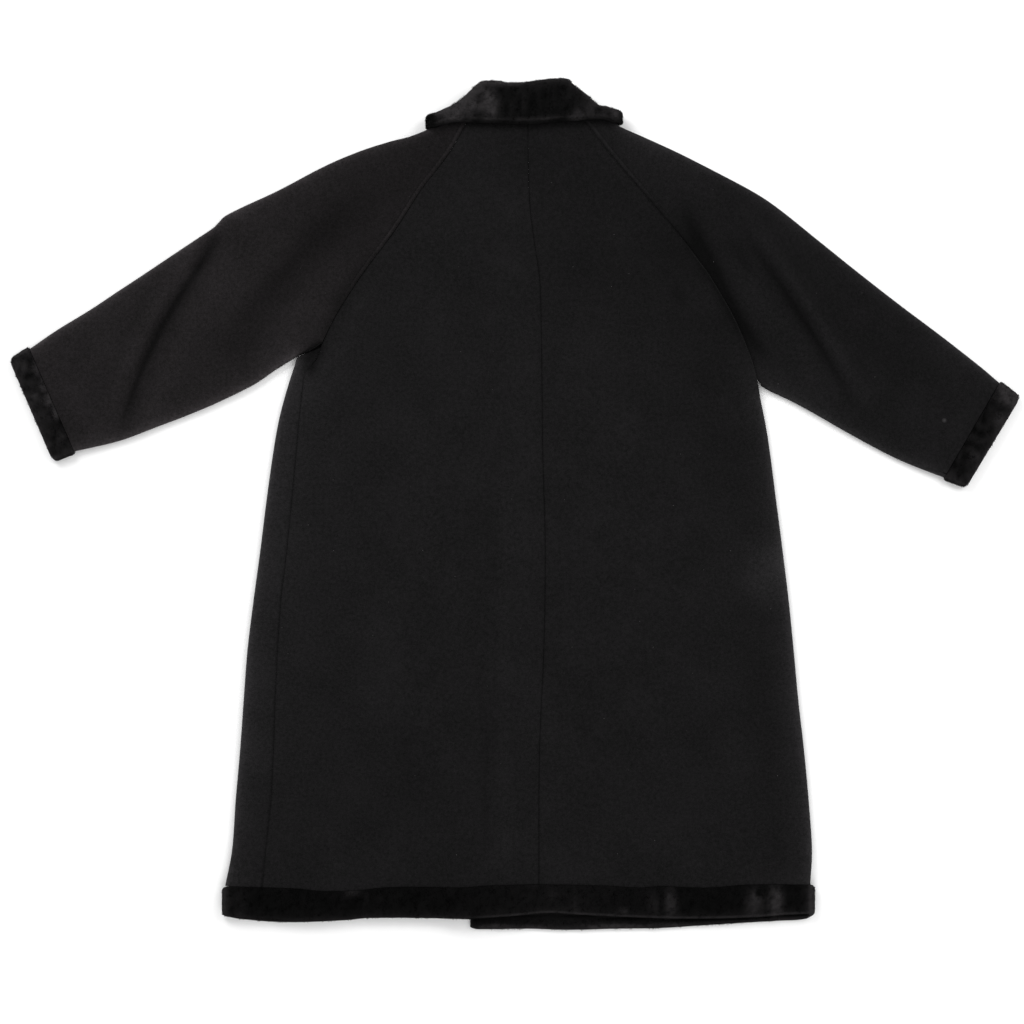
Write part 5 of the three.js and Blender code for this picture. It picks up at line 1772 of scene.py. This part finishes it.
    def cover(
        self, piece: FurPiece, skin: Skin, full: Array, ring: bool = False, inside: Skin | None = None
    ) -> None:
        """Make the base and the blades of a fur piece, and declare its cut.

        Args:
            piece: Its node, seed and what it rests on.
            skin: The outside of the fur.
            full: For each row, the share of the wall that is there.
            ring: Whether it closes on itself.
            inside: A strip of its other side that shows from above.
        """
        thing = self.base(piece.node + "_leather", skin, full, ring, piece.node)
        blades = self.blades(piece.node + "_pile", skin, full, ring, piece.seed)
        if inside is not None:
            low = full[-len(inside.at) :]
            blades += self.blades(piece.node + "_inside_pile", inside, low, False, piece.seed + 10)
        declare(thing, skin, piece.held, piece.rests, ring=ring, pieces=blades)


def shares_between(*spans: tuple[float, float, int]) -> Array:
    """Give shares that are spaced evenly within each span, as its two ends and how many."""
    return np.unique(np.concatenate([np.linspace(*span) for span in spans]))


def corner_inset(far: Array, radius: float) -> Array:
    """Give how far a rounded corner draws a side in, at places `far` along it from the corner."""
    return radius - np.sqrt(radius**2 - (radius - np.clip(far, 0, radius)) ** 2)


def rounded_end(v: Array, start: float = 0.8, left: float = 0.35) -> Array:
    """Give how full the pile is across a strip whose far edge is free."""
    return np.sqrt(1 - (1 - left**2) * np.maximum(0, (v - start) / (1 - start)) ** 2)


@dataclass
class Cuff:
    """A flattened fur ring round the end of a sleeve."""

    piece: FurPiece
    corners: tuple[tuple[float, float], ...]

    def skin(self) -> tuple[Skin, Array]:
        """Lay out the ring's outside and its fullness."""
        v = shares_between((0, 0.1, 4), (0.1, 0.8, 11), (0.8, 1, 9))
        inner_under, inner_over, outer_under, outer_over = (np.array(c) for c in self.corners)
        depth = np.linalg.norm(outer_under - inner_under)
        low = inner_under + (outer_under - inner_under) * v[:, None]
        high = inner_over + (outer_over - inner_over) * v[:, None]
        span = np.linalg.norm(high - low, axis=1)
        way = (high - low) / span[:, None]
        bulge = CUFF_BULGE - corner_inset(v * depth, CUFF_BULGE) - corner_inset((1 - v) * depth, CORNER)
        under = low - way * bulge[:, None]
        length = span + 2 * bulge
        run = np.linspace(0, 1, 42)[None, 1:-1] * (length - 2 * FUR_ROLL)[:, None]
        angle = np.linspace(-math.pi / 2, math.pi / 2, 15)[None]
        along = np.concatenate(
            [
                length[:, None] + (np.cos(angle) - 1) * FUR_ROLL,
                length[:, None] - FUR_ROLL - run,
                -(np.cos(angle) - 1) * FUR_ROLL + 0 * length[:, None],
                FUR_ROLL + run,
            ],
            1,
        )
        flat = np.ones_like(run)
        cos, sin = (part + 0 * length[:, None] for part in (np.cos(angle), np.sin(angle)))
        side = np.concatenate([cos, 0 * run, -cos, 0 * run], 1)
        up = np.concatenate([sin, flat, -sin, -flat], 1)
        plan = under[:, None] + way[:, None] * along[..., None]
        at = np.concatenate([plan, (FUR_ROLL * (1 + up))[..., None]], -1)
        out = np.concatenate([way[:, None] * side[..., None], up[..., None]], -1)
        return Skin(at, out), rounded_end(v)

    def build(self, pile: Pile) -> None:
        """Make the cuff."""
        skin, full = self.skin()
        pile.cover(self.piece, skin, full, True)


@dataclass
class HemBand:
    """A fur band along a hem, which may turn over at the side with its panel."""

    piece: FurPiece
    start: float
    reach: float
    seam: float
    top: Callable[[Array], Array]
    edge: Table
    far_edge: Table
    level: Callable[[Array], Array]
    up: int
    fold: int
    step: float = 4.0
    turn_steps: int = 14

    def skin(self) -> tuple[Skin, Array]:
        """Lay out the band's outside, and give how full each row is."""
        v = shares_between((0, 0.12, 4), (0.12, 0.8, 8), (0.8, 1, 8))
        inset = corner_inset(v * BAND_DEPTH, CORNER) + corner_inset((1 - v) * BAND_DEPTH, FREE_CORNER)
        end = self.reach - self.fold * (FUR_ROLL + inset)
        u = np.linspace(0, 1, round(abs(self.reach - self.start) / self.step) + 1)
        x = self.start + (end - self.start)[:, None] * u[None]
        top, low = self.top(x), self.edge.smooth("x", "y", x)
        skin = Skin.flat(x, mix(top, low, v[:, None]), self.level(x), self.up)
        if not self.fold:
            return skin, rounded_end(v)
        rows = len(v)
        way = np.tile([float(self.fold), 0.0], (rows, 1))
        half_turn = np.full(rows, math.pi)
        tail = np.abs(self.seam - end)
        radius = np.full(rows, FUR_ROLL)
        turned = turned_edge(skin.at[:, -1], way, self.up, radius, half_turn, tail, self.turn_steps, 10)
        share = ease(np.arange(1, turned.at.shape[1] + 1), 0, self.turn_steps)
        x = turned.at[..., 0]
        first = mix(skin.at[0, -1, 1], hem_line(x) - SEAM / 2, share[None])
        last = mix(self.edge.smooth("x", "y", end)[:, None], self.far_edge.smooth("x", "y", x), share[None])
        turned.at[..., 1] = mix(first, last, v[:, None])
        return skin.beside(turned), rounded_end(v)

    def build(self, pile: "Pile") -> None:
        """Make the band.

        Args:
            pile: What covers it.
        """
        skin, full = self.skin()
        low = slice(len(full) // 2, None)
        # The fur goes on round the free edge, and a strip of its inside shows from above.
        inside = Skin((skin.at - skin.out * FUR)[low], -skin.out[low]) if self.up < 0 else None
        pile.cover(self.piece, skin, full, inside=inside)


def hem_bands() -> list[HemBand]:
    """Give the three bands of the hem."""
    left_seam = float(SIDES.straight("y", "left_seam", HEM_Y)) + SEAM / 2
    right_seam = float(SIDES.columns["right_seam"][0])

    def left_level(x: Array) -> Array:
        """Give the left front band's underside."""
        return FUR_STEP * ease(x, CLOSING_HEM_X - 63, CLOSING_HEM_X - 28)

    def back_level(x: Array) -> Array:
        """Give the back band's outside."""
        return FUR_STEP + FUR + FUR_STEP * LIE.over_closing(x, HEM_Y, 30, 50)

    return [
        HemBand(
            piece=FurPiece("hem_back", 51, Held.FOLDED, ("hem_front_left", "hem_front_right")),
            start=left_seam,
            reach=BAND_RIGHT,
            seam=right_seam + SEAM / 2,
            top=lambda x: hem_line(x) - SEAM / 2,
            edge=BACK_HEM,
            far_edge=RIGHT_FRONT_HEM,
            level=back_level,
            up=1,
            fold=1,
        ),
        HemBand(
            piece=FurPiece("hem_front_left", 52, Held.FOLDED, ("table_top", "hem_front_right")),
            start=CLOSING_HEM_X + OVERLAP,
            reach=BAND_LEFT,
            seam=left_seam - SEAM,
            top=lambda x: front_hem(x) - SEAM / 2,
            edge=LEFT_FRONT_HEM,
            far_edge=BACK_HEM,
            level=left_level,
            up=-1,
            fold=-1,
        ),
        HemBand(
            piece=FurPiece("hem_front_right", 53, Held.LAID, ("table_top",)),
            start=CLOSING_HEM_X - OVERLAP,
            reach=right_seam - SEAM / 2,
            seam=0.0,
            top=lambda x: right_front_hem(x) - SEAM / 2,
            edge=RIGHT_FRONT_HEM,
            far_edge=RIGHT_FRONT_HEM,
            level=lambda x: 0 * x,
            up=-1,
            fold=0,
        ),
    ]


@dataclass
class Collar:
    """The collar: a stand that rises from the neckline and a fall that turns down over it."""

    piece: FurPiece = FurPiece("collar", 61, Held.FOLDED, ("table_top", "back_left", "back_right"))

    def front(self, side: Side) -> list[tuple[Array, float, tuple[float, float], Array]]:
        """Give the stations of one front, from its end to the side."""
        row = 0 if side is Side.LEFT else -1
        fall_y = COLLAR_BACK.columns["fall"][row]
        last = FRONT_NECK_DEGREES[-1]
        stations = []
        for degrees in np.linspace(last, 0, 26):
            t = 1 - degrees / last
            a = math.radians(FALL_DEGREES * (1 - t))
            neck = np.array([*neck_front(side, degrees), COLLAR_AXIS_Z - COLLAR_HALF])
            wide = mix(SPREAD_X + FLARE, NECK_HALF, t**3)
            fall = (NECK_X + side.value * wide * math.cos(a), fall_y - (SPREAD_Y - 2) * math.sin(a))
            stations.append((neck, FRONT_ROLL, fall, np.array([0.0, 0.0, -1.0])))
        return stations

    def turn(self, side: Side) -> list[tuple[Array, float, tuple[float, float], Array]]:
        """Give the stations round one side of the neck."""
        row = {name: column[0 if side is Side.LEFT else -1] for name, column in COLLAR_BACK.columns.items()}
        stations = []
        for t in np.linspace(0, 1, 12)[1:-1]:
            a = math.pi * (1 - t)
            out = np.array([side.value * math.sin(a), 0.0, math.cos(a)])
            neck = np.array([row["x"], row["neck"], COLLAR_AXIS_Z]) + COLLAR_HALF * out
            roll = float(mix(FRONT_ROLL, row["roll"] - row["neck"], t))
            stations.append((neck, roll, (row["x"], row["fall"]), out))
        return stations

    def stations(self) -> list[tuple[Array, float, tuple[float, float], Array]]:
        """Give all the stations, from the left front end round the back to the right one."""
        back = []
        for x in np.linspace(COLLAR_BACK.columns["x"][0], COLLAR_BACK.columns["x"][-1], 72):
            neck, roll, fall = (float(COLLAR_BACK.smooth("x", key, x)) for key in ("neck", "roll", "fall"))
            place = np.array([x, neck, COLLAR_AXIS_Z + COLLAR_HALF])
            back.append((place, roll - neck, (x, fall), np.array([0.0, 0.0, 1.0])))
        left = self.front(Side.LEFT) + self.turn(Side.LEFT)
        right = (self.front(Side.RIGHT) + self.turn(Side.RIGHT))[::-1]
        return left + back + right

    def column(self, station: tuple[Array, float, tuple[float, float], Array]) -> tuple[Array, Array]:
        """Give the points of one station, from the neckline over the roll to the fall's edge.

        Args:
            station: The neckline point, the height of the roll, the fall's edge and the way out.

        Returns:
            The places on the outside, and the way that it faces.
        """
        start, roll, fall, outward = station
        rise = np.array([0.0, 1.0, 0.0])
        bend = start + rise * (roll - COLLAR_HALF - FUR / 2)
        axis = bend + outward * COLLAR_HALF
        end = np.array([fall[0], fall[1], start[2]]) + outward * 2 * COLLAR_HALF
        if abs(outward[0]) > 0:
            end[0] = start[0] + 2 * COLLAR_HALF * outward[0]
        at, out = [], []
        for t in np.linspace(0, 1, 5)[:-1]:
            at.append(mix(start, bend, t))
            out.append(-outward)
        for t in np.linspace(0, 1, 11):
            normal = -outward * math.cos(math.pi * t) + rise * math.sin(math.pi * t)
            at.append(axis + normal * COLLAR_HALF)
            out.append(normal)
        top = bend + outward * 2 * COLLAR_HALF
        for t in self.fall_shares():
            at.append(mix(top, end, t))
            out.append(outward)
        places, ways = np.array(at), np.array(out)
        return places + ways * FUR / 2, ways

    @staticmethod
    def fall_shares() -> Array:
        """Give the shares of the fall at which its rows lie."""
        return np.concatenate([np.linspace(0, 0.85, 13)[1:], np.linspace(0.85, 1, 7)[1:]])

    def build(self, pile: Pile) -> None:
        """Make the collar."""
        columns = [self.column(station) for station in self.stations()]
        skin = Skin(np.stack([c[0] for c in columns], 1), np.stack([c[1] for c in columns], 1))
        full = np.ones(len(skin.at))
        shares = self.fall_shares()
        full[-len(shares) :] = rounded_end(shares, 0.88, 0.4)
        pile.cover(self.piece, skin, full)


# ---------------------------------------------------------------- floor, light and camera
@dataclass
class Studio:
    """A plain white table under a camera that looks straight down."""

    bench: Bench
    centre: tuple[float, float] = (-3.5, -9.8)
    width: float = 1433.6  # what the picture takes in, at the coat
    height: float = 5.0
    lens: float = 85.0
    sensor: float = 36.0

    def floor(self) -> None:
        """Make the table top."""
        material, tree = new_material("white_paper")
        place = add_node(tree, "TexCoord").outputs["Object"]
        grain = add_node(tree, "TexNoise", {"Vector": place, "Scale": 40.0, "Detail": 2.0})
        tone = ramp(tree, grain.outputs["Fac"], ((0.0, "#f6f6f6"), (1.0, "#fafafa")))
        shader = add_node(tree, "BsdfPrincipled", {"Base Color": tone, "Roughness": 0.9})
        add_node(tree, "OutputMaterial", {"Surface": shader.outputs["BSDF"]})
        half = 6000.0
        corners = np.array([[-half, -half, 0], [half, -half, 0], [half, half, 0], [-half, half, 0]])
        table = self.bench.mesh("table_top", corners, np.array([[0, 1, 2, 3]]))
        table.data.materials.append(material)

    def lamp(self, name: str, place: tuple[float, float, float], size: float, power: float) -> None:
        """Hang a square soft box that faces the coat.

        Args:
            name: Its name.
            place: Where it hangs, in metres.
            size: Its side in metres.
            power: Watts.
        """
        data = bpy.data.lights.new(name, "AREA")
        data.shape, data.size, data.energy = "SQUARE", size, power
        lamp = bpy.data.objects.new(name, data)
        lamp.location = place
        away = np.array(place) / np.linalg.norm(place)
        lamp.rotation_euler = (math.acos(away[2]), 0, math.atan2(away[1], away[0]) + math.pi / 2)
        bpy.context.collection.objects.link(lamp)

    def build(self) -> None:
        """Make the floor, the lights, the world and the camera."""
        self.floor()
        self.lamp("key", (-1.5, 2.1, 1.7), 1.6, 58)
        self.lamp("fill", (1.9, 1.2, 1.7), 1.8, 34)
        self.lamp("low", (0.3, -2.4, 1.8), 1.8, 22)
        world = bpy.data.worlds.new("studio")
        world.use_nodes = True
        world.node_tree.nodes["Background"].inputs["Color"].default_value = (1, 1, 1, 1)
        world.node_tree.nodes["Background"].inputs["Strength"].default_value = 0.62
        bpy.context.scene.world = world
        bpy.context.scene.view_settings.view_transform = "Standard"
        data = bpy.data.cameras.new("overhead")
        data.lens, data.sensor_width = self.lens, self.sensor
        data.clip_end = 50
        camera = bpy.data.objects.new("overhead", data)
        away = self.width * self.lens / self.sensor + self.height
        place = (np.array([*self.centre, away]) + self.bench.shift) * MM
        camera.location = tuple(place)
        bpy.context.collection.objects.link(camera)
        bpy.context.scene.camera = camera


# painted light and painted shade: how much lighter each sleeve's cloth is painted away from the neck, the
# left one lighter and the right one darker
LEFT_OUTWARD, RIGHT_OUTWARD = 0.36, -0.14


def main() -> None:
    """Build the coat piece by piece."""
    logging.basicConfig(level=logging.INFO, format="%(message)s")
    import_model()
    bench = Bench()
    Studio(bench).build()
    wool = BrushedWool().build(bench)
    # the left sleeve's wool is a lighter copy of the body's, a painted light
    left_sleeve = BrushedWool(name="brushed_wool_left_sleeve", dark="#0c0b0b", light="#1a1819").build(bench)
    right_sleeve = BrushedWool(name="brushed_wool_right_sleeve", speck=(600.6, 118.3)).build(bench)
    back = Back(bench)
    back.build(wool)
    Fronts(bench, back).build(wool)
    for half in sleeve_halves():
        cloth = left_sleeve if "left" in half.name else right_sleeve
        skin = half.skin()
        outward = LEFT_OUTWARD if "left" in half.name else RIGHT_OUTWARD
        thing = nap_and_painted_light(bench.wall(half.name + "_cloth", skin, WOOL), skin, outward)
        settle(thing, cloth, "wool", half.name)
        below = half.name.replace("back", "front") if half.up > 0 else "table_top"
        declare(thing, skin, Held.LAID, [below], slanted=True)
    Topstitch(bench).build(SewingThread().build())
    pile = Pile(bench, ShearedFur().build())
    Collar().build(pile)
    Cuff(FurPiece("cuff_left", 71, Held.FOLDED, ("table_top",)), LEFT_CUFF).build(pile)
    Cuff(FurPiece("cuff_right", 72, Held.FOLDED, ("table_top",)), RIGHT_CUFF).build(pile)
    for band in hem_bands():
        band.build(pile)


if __name__ == "__main__":
    main()
